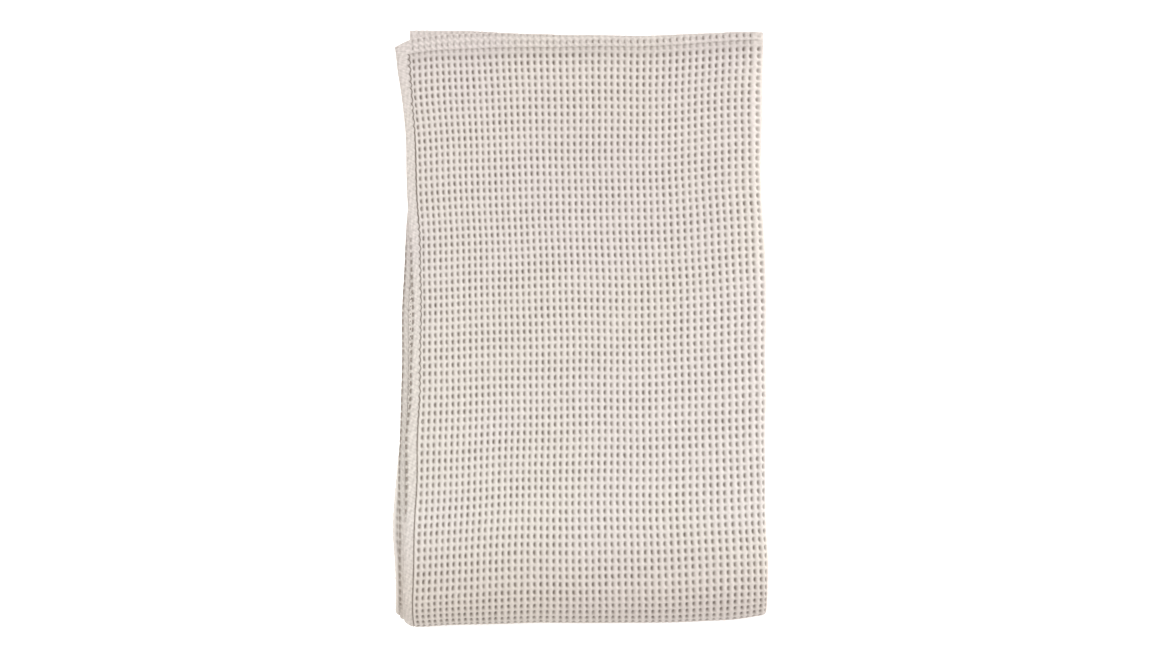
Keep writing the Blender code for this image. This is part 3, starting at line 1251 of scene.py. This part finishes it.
class ShaderNodes:
    """Adds nodes to a material and links them."""

    def __init__(self, name: str) -> None:
        """Starts a material with no nodes.

        Args:
            name: The material's name.
        """
        self.material = bpy.data.materials.new(name)
        self.material.use_nodes = True
        self.tree = self.material.node_tree
        self.tree.nodes.clear()

    def add(
        self, kind: str, settings: dict[str, Any], inputs: dict[Any, Any], output: Any = 0
    ) -> Socket:
        """Adds one node.

        Args:
            kind: The node's type.
            settings: Its settings, set before its sockets.
            inputs: Values or sockets by input name or number.
            output: Name or number of the output to return.

        Returns:
            The output, wrapped, or nothing wrapped where the node has none.
        """
        node = self.tree.nodes.new(kind)
        for name, value in settings.items():
            setattr(node, name, value)
        for name, value in inputs.items():
            if isinstance(value, Socket):
                self.tree.links.new(value.output, node.inputs[name])
            else:
                node.inputs[name].default_value = value
        return Socket(self, node.outputs[output] if len(node.outputs) else None)

    def surface(self, inputs: dict[str, Any]) -> bpy.types.Material:
        """Ends the material with a Principled shader that has the given inputs."""
        shader = self.add("ShaderNodeBsdfPrincipled", {}, inputs)
        self.add("ShaderNodeOutputMaterial", {}, {"Surface": shader})
        return self.material

    def attribute(self, name: str) -> Socket:
        """A value that each point of the mesh has."""
        return self.add("ShaderNodeAttribute", {"attribute_name": name}, {}, "Fac")

    def place(self) -> Socket:
        """The place on the object."""
        return self.add("ShaderNodeTexCoord", {}, {}, "Object")

    def noise(self, place: Socket, scale: float, detail: float = 2.0) -> Socket:
        """Noise at a place, by its scale and its octaves of detail."""
        inputs = {"Vector": place, "Scale": scale, "Detail": detail}
        return self.add("ShaderNodeTexNoise", {}, inputs)

    def mix(self, factor: Any, first: Any, second: Any, blend: str = "MIX") -> Socket:
        """Mixes two colours."""
        settings = {"data_type": "RGBA", "blend_type": blend, "clamp_factor": True}
        return self.add("ShaderNodeMix", settings, {0: factor, 6: first, 7: second}, 2)

    def ramp(self, value: Any, start: float, end: float) -> Socket:
        """Rises evenly from 0 at the start to 1 at the end, and stays there."""
        return self.add("ShaderNodeMapRange", {}, {"Value": value, 1: start, 2: end})

    def part(self, vector: Socket, index: int) -> Socket:
        """One part of a vector."""
        return self.add("ShaderNodeSeparateXYZ", {}, {0: vector}, index)


@dataclass(frozen=True)
class Tint:
    """A tint that changes evenly from one colour to another.

    Attributes:
        start: Value where the change starts.
        end: Value where it ends.
        first: Colour before it, as a factor.
        last: Colour after it.
    """

    start: float
    end: float
    first: Colour
    last: Colour

    def on(self, nodes: ShaderNodes, colour: Socket, value: Socket) -> Socket:
        """The colour times the tint at a value."""
        tint = nodes.mix(nodes.ramp(value, self.start, self.end), self.first, self.last)
        return nodes.mix(1.0, colour, tint, "MULTIPLY")


@dataclass(frozen=True)
class CottonFinish:
    """Undyed cotton yarn: matt, with soft fibres, and with painted shade that darkens the hollows.

    Attributes:
        wall: Colour on the walls of the cells.
        hollow: Colour of the painted shade in the hollows.
        curve: Power of the hollowness in the change from one to the other.
        least_hollow: Share of the hollowness that the blotches leave.
        blotches: Change of the hollowness by blotches on the cells, and its gain on a hem.
        blotch_scale: Scale of the blotches.
        patch_scale: Scale of the yellower and pinker patches.
        patch_tint: Their tint, by the noise.
        far_shade: Painted shade with a pinker cast towards the far end, by the place along.
        near_shade: Painted shade towards the near end, by the place along.
        shade_scale: Scale of the slow light and dark.
        shade: Share of it.
        fibre_scale: Scale of the fibres.
        speckle: Share of light and dark in the fibres.
        roughness: Roughness of the yarn, and its change in the fibres.
        gloss: Level of the yarn's reflection.
        sheen: Weight and roughness of the fibres' sheen.
        yarns_across: Yarns in a cell, across.
        yarns_along: Yarns in a cell, along.
        twists: Turns of the yarn's twist in a cell.
        wobble: Swing of the yarns by the fibres, in radians.
        yarn_height: Height of a yarn's ribbing.
        rib_share: Share of the ribs in that height.
        twist_share: Share of the twist.
        fibre_share: Share of the fibres.
        bump: Strength of the ribbing.
    """

    wall: Colour = (0.800, 0.750, 0.699, 1.0)
    hollow: Colour = (0.255, 0.219, 0.187, 1.0)
    curve: float = 0.85
    least_hollow: float = 0.3
    blotches: tuple[float, float] = (0.16, 0.40)
    blotch_scale: float = 330.0
    patch_scale: float = 8.0
    patch_tint: Tint = Tint(0.42, 0.60, (1.0, 0.996, 0.980, 1.0), (0.990, 0.980, 0.992, 1.0))
    far_shade: Tint = Tint(-0.20, 0.30, WHITE, (0.925, 0.903, 0.910, 1.0))
    near_shade: Tint = Tint(-0.20, -0.29, WHITE, (0.893, 0.860, 0.843, 1.0))
    shade_scale: float = 14.0
    shade: float = 0.07
    fibre_scale: float = 900.0
    speckle: float = 0.10
    roughness: tuple[float, float] = (0.92, 0.08)
    gloss: float = 0.25
    sheen: tuple[float, float] = (0.12, 0.6)
    yarns_across: float = 7.0
    yarns_along: float = 8.0
    twists: float = 22.0
    wobble: float = 3.0
    yarn_height: float = 0.00022
    rib_share: float = 0.5
    twist_share: float = 0.15
    fibre_share: float = 1.2
    bump: float = 0.8

    def colour(self, nodes: ShaderNodes, hollow: Socket, place: Socket, fibres: Socket) -> Socket:
        """Colour of the yarn: from the walls' to the painted shade of the hollows with the
        hollowness.

        Blotches change the hollowness, slow noise and the fibres make the colour uneven, and
        tints shift it in patches; towards both ends they are painted shade, pinker at the far end.

        Args:
            nodes: The material's nodes.
            hollow: The hollowness.
            place: The place on the object.
            fibres: Noise of the fibres, about 0.

        Returns:
            The colour.
        """
        cells, gain = self.blotches
        blotch = nodes.noise(place, self.blotch_scale) - 0.5
        uneven = blotch * (cells + nodes.attribute("hem") * gain)
        depth = (hollow + uneven).at_least(hollow * self.least_hollow)
        # Painted shade: the hollowness mixes the walls' colour towards the darker colour of the
        # hollows.
        tone = nodes.mix(depth**self.curve, self.wall, self.hollow)
        slow = nodes.noise(place, self.shade_scale, 3.0) - 0.5
        shade = 1.0 + slow * self.shade + fibres * self.speckle
        grey = nodes.add("ShaderNodeCombineColor", {}, {0: shade, 1: shade, 2: shade})
        colour = nodes.mix(1.0, tone, grey, "MULTIPLY")
        length = nodes.part(place, 1)
        colour = self.patch_tint.on(nodes, colour, nodes.noise(place, self.patch_scale))
        # Painted shade with a pinker cast towards the far end.
        colour = self.far_shade.on(nodes, colour, length)
        # Painted shade towards the near end.
        return self.near_shade.on(nodes, colour, length)

    def ribbing(self, nodes: ShaderNodes, hollow: Socket, fibres: Socket) -> Socket:
        """Bump of the yarns: ribs along on the walls and across in the hollows.

        Each rib is a sine of the cell coordinate times the yarns in a cell, with a wobble by the
        fibres. The twist is a finer sine on a slant.

        Args:
            nodes: The material's nodes.
            hollow: The hollowness.
            fibres: Noise of the fibres, about 0.

        Returns:
            The bump's normal.
        """
        cells = nodes.add("ShaderNodeUVMap", {"uv_map": "cells"}, {})
        across, along = nodes.part(cells, 0), nodes.part(cells, 1)
        wobble = fibres * self.wobble
        turn = 2 * np.pi
        ribs_along = (across * (turn * self.yarns_across) + wobble).sine()
        ribs_across = (along * (turn * self.yarns_along) + wobble).sine()
        twist = ((across * self.yarns_across + along * self.twists) * turn).sine()
        ribs = ribs_along * (1.0 - hollow) + ribs_across * hollow
        height = ribs * self.rib_share + twist * self.twist_share + fibres * self.fibre_share
        inputs = {"Strength": self.bump, "Distance": self.yarn_height, "Height": height}
        return nodes.add("ShaderNodeBump", {}, inputs)

    def material(self) -> bpy.types.Material:
        """Builds the finish.

        Returns:
            The material.
        """
        nodes = ShaderNodes(SLOT)
        # The hollow attribute carries the painted shade of the weave.
        hollow = nodes.attribute("hollow")
        place = nodes.place()
        fibres = nodes.noise(place, self.fibre_scale, 4.0) - 0.5
        roughness, change = self.roughness
        weight, softness = self.sheen
        return nodes.surface(
            {
                "Base Color": self.colour(nodes, hollow, place, fibres),
                "Roughness": roughness + fibres * change,
                "Specular IOR Level": self.gloss,
                "Sheen Weight": weight,
                "Sheen Roughness": softness,
                "Normal": self.ribbing(nodes, hollow, fibres),
            }
        )


def grid_quads(rows: int, columns: int, first: int = 0) -> Array:
    """Quads of a grid whose points are numbered row by row.

    Args:
        rows: Rows of points.
        columns: Columns of points.
        first: Number of the first point.

    Returns:
        The quads, turned so that the face side of the first panel is their front.
    """
    row, column = np.meshgrid(np.arange(rows - 1), np.arange(columns - 1), indexing="ij")
    corner = first + row * columns + column
    quads = np.stack([corner, corner + columns, corner + columns + 1, corner + 1], axis=-1)
    return quads.reshape(-1, 4)


def add_mesh(name: str, points: Array, quads: Array, material: bpy.types.Material) -> Any:
    """Puts points and quads into a new smooth object.

    Args:
        name: The piece's name.
        points: Points, in metres.
        quads: Quads, as point numbers.
        material: The piece's finish.

    Returns:
        The object.
    """
    mesh = bpy.data.meshes.new(name)
    mesh.vertices.add(len(points))
    mesh.vertices.foreach_set("co", points.astype(np.float32).ravel())
    mesh.loops.add(quads.size)
    mesh.loops.foreach_set("vertex_index", quads.astype(np.int32).ravel())
    mesh.polygons.add(len(quads))
    mesh.polygons.foreach_set("loop_start", np.arange(0, quads.size, 4, dtype=np.int32))
    mesh.update(calc_edges=True)
    mesh.shade_smooth()
    mesh.materials.append(material)
    piece = bpy.data.objects.new(name, mesh)
    bpy.context.scene.collection.objects.link(piece)
    return piece


@dataclass(frozen=True)
class InnerLayers:
    """The whole sheet, plain and thin, in all sixteen layers, just inside the patches.

    Depths are offsets of its face and back from the sheet's middle plane, in millimetres.

    Attributes:
        edge: Run from the cloth's edge to the sheet's.
        hem_middle: Run to the middle of a hem.
        hem: Run to where the sheet goes down from a hem.
        hem_drop: Run over which it goes down.
        first_line: Run to the first grid line past a hem.
        blend: Run over which one depth changes to the next.
        hem_depth: Depths on the first hem.
        top_depth: Depths on the top panel and the fold beside it, below the cells.
        free_depth: Depths where the cloth is out of sight.
        left_depth: Depths in the folds at the left.
        panel_steps: Steps of a panel and of a turn, across.
        panel_rows: The same along.
    """

    edge: float = 0.0015
    hem_middle: float = 0.007
    hem: float = 0.016
    hem_drop: float = 0.003
    first_line: float = 0.05
    blend: float = 0.02
    hem_depth: tuple[float, float] = (0.3, -1.05)
    top_depth: tuple[float, float] = (-1.30, -1.60)
    free_depth: tuple[float, float] = (0.60, -0.60)
    left_depth: tuple[float, float] = (-0.45, -0.95)
    panel_steps: tuple[int, int] = (6, 5)
    panel_rows: tuple[int, int] = (25, 13)

    def runs_across(self, strip: Zigzag) -> Array:
        """Runs of the grid lines across: closer on the hems and in the turns.

        Args:
            strip: The zigzag across.

        Returns:
            The runs, in order.
        """
        bounds, end = strip.bounds, strip.length
        panel, turn = self.panel_steps
        parts = [
            [self.edge, self.hem_middle, self.hem],
            np.linspace(self.first_line, bounds[1], panel),
            np.linspace(bounds[1], bounds[2], turn + 3)[1:-1],
            np.linspace(bounds[2], bounds[3], panel + 1),
            np.linspace(bounds[3], bounds[4], turn + 1)[1:-1],
            np.linspace(bounds[4], bounds[5], panel + 1),
            np.linspace(bounds[5], bounds[6], turn + 1)[1:-1],
            np.linspace(bounds[6], end - self.first_line, panel),
            [end - self.hem, end - self.hem_middle, end - self.edge],
        ]
        return np.concatenate(parts)

    def runs_along(self, strip: Zigzag) -> Array:
        """Runs of the grid lines along: each panel and turn in even steps.

        Args:
            strip: The zigzag along.

        Returns:
            The runs, in order.
        """
        bounds = strip.bounds
        panel, turn = self.panel_rows
        runs = [np.linspace(self.edge, bounds[1], panel + 1)]
        last = len(bounds) - 2
        for index in range(1, last + 1):
            end = bounds[index + 1] - (self.edge if index == last else 0.0)
            steps = turn if index % 2 == 1 else panel
            runs.append(np.linspace(bounds[index], end, steps + 1)[1:])
        return np.concatenate(runs)

    def skins(self, strip: Zigzag, runs: Array) -> tuple[Array, Array]:
        """Offsets of the face and the back, blended between the runs where they are known.

        Args:
            strip: The zigzag across.
            runs: Runs across.

        Returns:
            The face's and the back's offsets, in metres.
        """
        bounds = strip.bounds
        rows = (
            (0.0, self.hem_depth),
            (self.hem - self.hem_drop, self.hem_depth),
            (self.hem, self.top_depth),
            (bounds[2], self.top_depth),
            (bounds[2] + self.blend, self.free_depth),
            (bounds[3] - self.blend, self.free_depth),
            (bounds[3], self.left_depth),
            (bounds[4], self.left_depth),
            (bounds[4] + self.blend, self.free_depth),
            (strip.length, self.free_depth),
        )
        at = [run for run, _ in rows]
        faces, backs = zip(*(depths for _, depths in rows))
        return MM * np.interp(runs, at, faces), MM * np.interp(runs, at, backs)

    def build(self, cloth: FoldedCloth, finish: bpy.types.Material) -> Any:
        """Builds the sheet as one closed mesh: its face, its back and the rim between them.

        Args:
            cloth: The folded cloth.
            finish: The cloth's finish.

        Returns:
            The object.
        """
        runs = self.runs_across(cloth.across)
        columns = cloth.across.stations(runs)
        rows = cloth.along.stations(self.runs_along(cloth.along)[:, None])
        half = np.array(0.0)
        offsets = self.skins(cloth.across, runs)
        skins = [cloth.points(columns, rows, offset, half) for offset in offsets]
        count_rows, count_columns = skins[0].shape[:2]
        total = count_rows * count_columns
        index = np.arange(total).reshape(count_rows, count_columns)
        loop = np.concatenate([index[0, :-1], index[:-1, -1], index[-1, :0:-1], index[:0:-1, 0]])
        following = np.roll(loop, -1)
        quads = np.concatenate(
            [
                grid_quads(count_rows, count_columns),
                grid_quads(count_rows, count_columns, total)[:, ::-1],
                np.stack([loop, following, following + total, loop + total], axis=-1),
            ]
        )
        return add_mesh("inner_layers", np.concatenate(skins).reshape(-1, 3), quads, finish)


@dataclass
class Bedspread:
    """The folded bedspread: the layers inside it, and a patch for each part that shows.

    Attributes:
        finish: The cloth's finish.
        cloth: The folds.
        weave: The relief.
        inner: The layers inside.
        fine: Grid steps in a cell on the top panel.
        near_steps: Grid steps in a row of cells on the near fold.
        plain: Grid steps in a cell on the far fold.
        coarse: Grid steps in a cell on the underside and the folds at the sides.
        first_line: Edge of the first column and row of cells, in cells.
        last_column: Column at which the patches of the outer layer end, past the outer fold.
        near_rows: Rows of cells where the near fold starts and ends.
        far_rows: The same for the far fold.
        last_row: Row at which the patches of the inner stacks end.
        left_row: Row at which the folds at the left start.
        last_hem_row: Row at which the last side hem's patches start.
        side_steps: Grid steps on the first side hem, on the top and on the other patches.
        rim_steps: Grid steps round a hem's rim.
        last_rim_steps: The same for the last side hem.
        end_steps: Grid steps on the first end hem, on the top and on the layers below.
        hem_step: Grid step along the end hems below the top panel.
        tuck: Run of a rim's patch from the hem's edge inwards.
        tuck_points: Grid points on it, for the side hems and the end hems.
        fold_points: Grid points across the folds at the right and at the left.
        top_patches: Patches of rows that the top panel is split into.
        rim_sweep: Angle that a hem's rounded rim turns through.
        right_lap: How far the patch of the folds at the right goes past the turn.
        left_lap: The same at the left.
        hem_lap: The same for the first end hem below the top panel, onto the outer fold.
        pieces: The pieces built so far.
    """

    finish: bpy.types.Material
    cloth: FoldedCloth = field(default_factory=FoldedCloth)
    weave: WaffleWeave = field(default_factory=WaffleWeave)
    inner: InnerLayers = field(default_factory=InnerLayers)
    fine: int = 7
    near_steps: int = 6
    plain: int = 5
    coarse: int = 4
    first_line: float = -0.5
    last_column: float = 56.5
    near_rows: tuple[float, float] = (70.5, 83.5)
    far_rows: tuple[float, float] = (154.5, 161.5)
    last_row: float = 308.0
    left_row: float = -2.0
    last_hem_row: float = -0.6
    side_steps: tuple[int, int] = (24, 8)
    rim_steps: int = 4
    last_rim_steps: int = 6
    end_steps: tuple[int, int] = (22, 14)
    hem_step: float = 0.0022
    tuck: float = 0.0125
    tuck_points: tuple[int, int] = (12, 9)
    fold_points: tuple[int, int] = (27, 24)
    top_patches: int = 4
    rim_sweep: float = 2.6
    right_lap: float = 0.006
    left_lap: float = 0.009
    hem_lap: float = 0.004
    pieces: list[Any] = field(default_factory=list)

    @property
    def inset(self) -> float:
        """Run from a hem's edge to the middle of its rounded rim."""
        return self.weave.hems.half

    def rim(self, strip: Zigzag, steps: int, last: bool) -> Stations:
        """Stations round the rim of a strip's first or last hem."""
        return strip.rim(steps, self.rim_sweep, self.inset, last)

    def outer_layer(self, hem_steps: int, steps: int) -> Stations:
        """Stations across the outer layer: the first side hem from under its rim, then the cells.

        Args:
            hem_steps: Grid steps on the hem.
            steps: Grid steps in a cell.

        Returns:
            The stations.
        """
        strip, grid = self.cloth.across, self.cloth.grid
        inner = float(grid.column_run(self.first_line))
        hem = strip.stations(np.linspace(self.inset, inner, hem_steps, endpoint=False))
        count = round((self.last_column - self.first_line) * steps) + 1
        columns = np.linspace(self.first_line, self.last_column, count)
        cells = strip.stations(grid.column_run(columns))
        return Stations.joined([self.rim(strip, self.rim_steps, False), hem, cells])

    def rows(self, first: float, last: float, steps: int, across: Stations) -> Stations:
        """Stations along from one row of cells to another, on the slant of the rows.

        Args:
            first: The first row.
            last: The last row.
            steps: Grid steps in a row.
            across: Stations across.

        Returns:
            The stations, as a full grid.
        """
        count = round((last - first) * steps) + 1
        row = np.linspace(first, last, count)[:, None]
        run = self.cloth.grid.row_run(row, across.place[None, :])
        return self.cloth.along.stations(run)

    def end_hem_rows(self, across: Stations, steps: int) -> Stations:
        """Stations along of the first end hem, from under its rim to its first row of cells.

        Args:
            across: Stations across.
            steps: Grid steps on the hem.

        Returns:
            The stations, as a full grid.
        """
        strip = self.cloth.along
        rim = self.rim(strip, self.rim_steps, False).each(as_column)
        inner = self.cloth.grid.row_run(self.first_line, across.place[None, :])
        share = np.linspace(0, 1, steps, endpoint=False)[:, None]
        hem = strip.stations(self.inset + share * (inner - self.inset))
        return Stations.joined([rim, hem])

    def patch(
        self, name: str, across: Stations, along: Stations,
        skin: Skin = Skin.FACE, shown: float = 1.0, painted_shade: float = 0.0,
    ) -> None:
        """Builds one patch of the cloth with its relief.

        The offset is the relief times the smaller of the two rims' kept shares, so that a corner
        is rounded off on both sides.

        Args:
            name: The piece's name.
            across: Stations across.
            along: Stations along.
            skin: The side of the cloth.
            shown: Depth of the relief, as a share.
            painted_shade: Painted shade over the whole patch, as a share of the hollows' darkness.
        """
        relief = self.weave.relief(self.cloth, across, along, shown)
        keep = np.minimum(across.keep, along.keep)
        offset = skin.value * relief.offset * keep
        points = self.cloth.points(across, along, offset, np.maximum(relief.offset, 0.0))
        rows, columns = points.shape[:2]
        quads = grid_quads(rows, columns)
        backwards = bool(across.run[-1] < across.run[0])
        if (skin is Skin.BACK) != backwards:
            quads = quads[:, ::-1]
        piece = add_mesh(name, points.reshape(-1, 3), quads, self.finish)
        mesh = piece.data
        # The hollow attribute holds the painted shade of the weave, plus the patch's own painted
        # shade.
        looks = {"hollow": np.clip(relief.hollow + painted_shade, 0, 1), "hem": relief.hem}
        for title, values in looks.items():
            values = np.ascontiguousarray(np.broadcast_to(values, (rows, columns)))
            attribute = mesh.attributes.new(title, "FLOAT", "POINT")
            attribute.data.foreach_set("value", values.astype(np.float32).ravel())
        cells = np.stack([relief.column, relief.row], axis=-1).reshape(-1, 2)[quads.ravel()]
        mesh.uv_layers.new(name="cells").data.foreach_set("uv", cells.ravel())
        self.keep_piece(piece)

    def keep_piece(self, piece: Any) -> None:
        """Ties a piece to the body, keeps it and reports it.

        Args:
            piece: The piece.
        """
        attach(piece, BODY)
        self.pieces.append(piece)
        LOG.info("%s: %d faces", piece.name, len(piece.data.polygons))

    def inner_layers(self) -> Any:
        """The plain sheet inside the patches, which stands for the solid.

        Returns:
            Its object.
        """
        sheet = self.inner.build(self.cloth, self.finish)
        self.keep_piece(sheet)
        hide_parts(NODE)
        return sheet

    def top_panel(self) -> None:
        """The panel that lies on top, with its two hems, in four patches of rows."""
        across = self.outer_layer(self.side_steps[0], self.fine)
        hem = self.end_hem_rows(across, self.end_steps[0])
        cells = self.rows(self.first_line, self.near_rows[0], self.fine, across)
        along = Stations.joined([hem, cells])
        cuts = np.linspace(0, len(along.run) - 1, self.top_patches + 1).round().astype(int)
        for index, (start, end) in enumerate(zip(cuts, cuts[1:])):
            rows = along.each(lambda values: values[start:end + 1])
            self.patch(f"top_panel_{index + 1}", across, rows)

    def near_fold(self) -> None:
        """The outer fold at the near end, from the top panel round to the underside."""
        across = self.outer_layer(self.side_steps[0], self.fine)
        self.patch("near_fold", across, self.rows(*self.near_rows, self.near_steps, across))

    def underside(self) -> None:
        """The panel that the bundle lies on, whose walls are pressed flat."""
        across = self.outer_layer(self.side_steps[1], self.coarse)
        rows = self.rows(self.near_rows[1], self.far_rows[0], self.coarse, across)
        self.patch("underside", across, rows)

    def far_fold(self) -> None:
        """The fold at the far end, low down below the hems."""
        across = self.outer_layer(self.side_steps[1], self.plain)
        self.patch("far_fold", across, self.rows(*self.far_rows, self.plain, across))

    def strip_along(
        self, name: str, across: Stations, first: float, skin: Skin = Skin.FACE,
        shown: float = 1.0, painted_shade: float = 0.0,
    ) -> None:
        """A narrow patch that runs along the cloth, from a row of cells to the last stack's end.

        Args:
            name: The piece's name.
            across: Stations across.
            first: The first row.
            skin: The side of the cloth.
            shown: Depth of the relief, as a share.
            painted_shade: Painted shade over the whole patch, as a share of the hollows' darkness.
        """
        rows = self.rows(first, self.last_row, self.coarse, across)
        self.patch(name, across, rows, skin, shown, painted_shade)

    def side_folds(self) -> None:
        """The outer folds at the right on the two middle stacks, and the folds at the left."""
        strip = self.cloth.across
        _, start, end, left_start, left_end, *_ = strip.bounds
        right_points, left_points = self.fold_points
        lap = self.right_lap
        across = strip.stations(np.linspace(start - lap, end + lap, right_points))
        self.strip_along("right_folds", across, self.far_rows[1], shown=0.85)
        lap = self.left_lap
        across = strip.stations(np.linspace(left_start - lap, left_end + lap, left_points))
        # The folds at the left take painted shade, as they lie below the top hem's edge.
        self.strip_along("left_folds", across, self.left_row, shown=0.70, painted_shade=0.08)

    def side_hems(self) -> None:
        """The side hems below the top panel's: the first hem's other half and the last hem."""
        strip = self.cloth.across
        inward = np.linspace(self.inset, self.tuck, self.tuck_points[0])
        rim = self.rim(strip, self.rim_steps, False)
        first = Stations.joined([rim, strip.stations(inward)])
        self.strip_along("side_hem_first", first, self.far_rows[1])
        rim = self.rim(strip, self.last_rim_steps, True)
        last = Stations.joined([rim, strip.stations(strip.length - inward)])
        # The last side hem takes painted shade, as it lies below the top hem.
        for skin in Skin:
            name = f"side_hem_last_{skin.name.lower()}"
            self.strip_along(name, last, self.last_hem_row, skin, painted_shade=0.07)

    def end_hems(self) -> None:
        """The end hems of the layers below the top panel: the first hem's rest and the last hem."""
        strip, along = self.cloth.across, self.cloth.along
        rim = self.rim(strip, self.rim_steps, True)
        start = strip.length - self.inset
        runs = np.arange(start, strip.bounds[1] - self.hem_lap, -self.hem_step)
        across = Stations.joined([rim, strip.stations(runs)])
        rows = self.end_hem_rows(across, self.end_steps[1])
        # The end hems below the top panel take a little painted shade.
        for skin in Skin:
            name = f"end_hem_first_{skin.name.lower()}"
            self.patch(name, across, rows, skin, shown=0.5, painted_shade=0.05)
        runs = np.arange(start, self.inset, -self.hem_step)
        across = Stations.joined([rim, strip.stations(runs)])
        inward = np.linspace(self.tuck, self.inset, self.tuck_points[1])
        outward = self.rim(along, self.rim_steps, True).each(np.flip)
        rows = Stations.joined([along.stations(along.length - inward), outward]).each(as_column)
        # The last end hem takes a little painted shade.
        for skin in Skin:
            self.patch(f"end_hem_last_{skin.name.lower()}", across, rows, skin, painted_shade=0.05)

    def build(self) -> None:
        sheet = self.inner_layers()
        self.top_panel()
        self.near_fold()
        self.underside()
        self.far_fold()
        self.side_folds()
        self.side_hems()
        self.end_hems()
        shown = [piece for piece in self.pieces if piece is not sheet]
        faces = sum(len(piece.data.polygons) for piece in self.pieces)
        LOG.info("all pieces: %d triangles", 2 * faces)


@dataclass(frozen=True)
class Softbox:
    """A square soft light that faces the middle of the bundle.

    Attributes:
        name: The light's name.
        at: Its place.
        size: Its side.
        power: Its power in watts.
    """

    name: str
    at: tuple[float, float, float]
    size: float
    power: float

    def build(self) -> None:
        """Adds the light."""
        data = bpy.data.lights.new(self.name, "AREA")
        data.shape = "SQUARE"
        data.size = self.size
        data.energy = self.power
        light = bpy.data.objects.new(self.name, data)
        light.location = self.at
        x, y, z = self.at
        tilt = float(np.arctan2(np.hypot(x, y), z))
        turn = float(np.arctan2(y, x) + np.pi / 2)
        light.rotation_euler = (tilt, 0.0, turn)
        bpy.context.scene.collection.objects.link(light)


@dataclass(frozen=True)
class Studio:
    """A white floor, soft light and the camera above the bundle.

    Attributes:
        pixel: Size of a photograph's pixel on the top panel, in metres.
        width: Width of the photograph in pixels.
        height: Height of the photograph in pixels.
        middle_x: Column of the bundle's middle in the photograph.
        middle_y: Row of the bundle's middle in the photograph.
        distance: Height of the camera above the top panel.
        sensor: Width of the camera's sensor, in millimetres.
        reach: How far the camera sees.
        floor_side: Side of the floor.
        floor_gap: How far the floor lies below the bundle.
        floor_points: Grid points on a side of it.
        floor_colours: The two colours of its faint grain.
        floor_grain: Scale of that grain.
        floor_roughness: Its roughness.
        glow: Light that the floor gives off, so that it stays white beside the bundle.
        sky: Strength of the soft light all round.
        softboxes: The other lights.
    """

    pixel: float = 0.001056
    width: float = 1158.0
    height: float = 652.0
    middle_x: float = 579.5
    middle_y: float = 327.5
    distance: float = 1.90
    sensor: float = 36.0
    reach: float = 50.0
    floor_side: float = 6.0
    floor_gap: float = 0.0002
    floor_points: int = 5
    floor_colours: tuple[Colour, Colour] = ((0.93, 0.93, 0.93, 1.0), (0.95, 0.95, 0.95, 1.0))
    floor_grain: float = 3.0
    floor_roughness: float = 0.9
    glow: float = 0.45
    sky: float = 0.52
    softboxes: tuple[Softbox, ...] = (
        Softbox("key", (-3.0, 2.4, 4.2), 3.0, 240.0),
        Softbox("side", (3.0, 0.6, 0.45), 1.2, 90.0),
        Softbox("near", (0.3, -3.0, 0.3), 1.2, 30.0),
        Softbox("fill", (0.6, 0.4, 2.4), 2.0, 6.0),
    )

    def camera(self, top: float, middle: Array) -> None:
        """Adds the camera, looking straight down with the bundle's far end up.

        Args:
            top: Height of the top panel.
            middle: Middle of the bundle's box in the tables' own measure.
        """
        data = bpy.data.cameras.new("camera")
        data.sensor_width = self.sensor
        data.lens = self.sensor * self.distance / (self.pixel * self.width)
        data.clip_end = self.reach
        camera = bpy.data.objects.new("camera", data)
        camera.location = (
            (self.width / 2 - self.middle_x) * self.pixel - float(middle[0]),
            (self.middle_y - self.height / 2) * self.pixel - float(middle[1]),
            top + self.distance,
        )
        bpy.context.scene.collection.objects.link(camera)
        bpy.context.scene.camera = camera

    def floor(self) -> None:
        """Adds the floor, a wide white sheet just under the bundle."""
        nodes = ShaderNodes("white_floor")
        grain = nodes.noise(nodes.place(), self.floor_grain)
        material = nodes.surface(
            {
                "Base Color": nodes.mix(grain, *self.floor_colours),
                "Roughness": self.floor_roughness,
                "Emission Color": WHITE,
                "Emission Strength": self.glow,
            }
        )
        count = self.floor_points
        steps = np.linspace(-self.floor_side / 2, self.floor_side / 2, count)
        x, y = np.meshgrid(steps, steps)
        points = np.stack([x, y, np.full_like(x, -self.floor_gap)], axis=-1).reshape(-1, 3)
        add_mesh("floor", points, grid_quads(count, count)[:, ::-1], material)

    def lights(self) -> None:
        """Adds the soft light all round and the softboxes."""
        world = bpy.data.worlds.new("studio")
        world.use_nodes = True
        background = world.node_tree.nodes["Background"]
        background.inputs["Color"].default_value = WHITE
        background.inputs["Strength"].default_value = self.sky
        bpy.context.scene.world = world
        for softbox in self.softboxes:
            softbox.build()
        bpy.context.scene.view_settings.view_transform = "Standard"

    def build(self, top: float, middle: Array) -> None:
        """Adds the camera, floor and lights.

        Args:
            top: Height of the top panel.
            middle: Middle of the bundle's box in the tables' own measure.
        """
        self.camera(top, middle)
        self.floor()
        self.lights()


def main() -> None:
    """Builds the studio and the bedspread, in order."""
    logging.basicConfig(level=logging.INFO, format="%(name)s: %(message)s")
    top = float(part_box(NODE)[1][2])
    bedspread = Bedspread(CottonFinish().material())
    Studio().build(top, sum(bedspread.cloth.box()) / 2)
    bedspread.build()


if __name__ == "__main__":
    main()
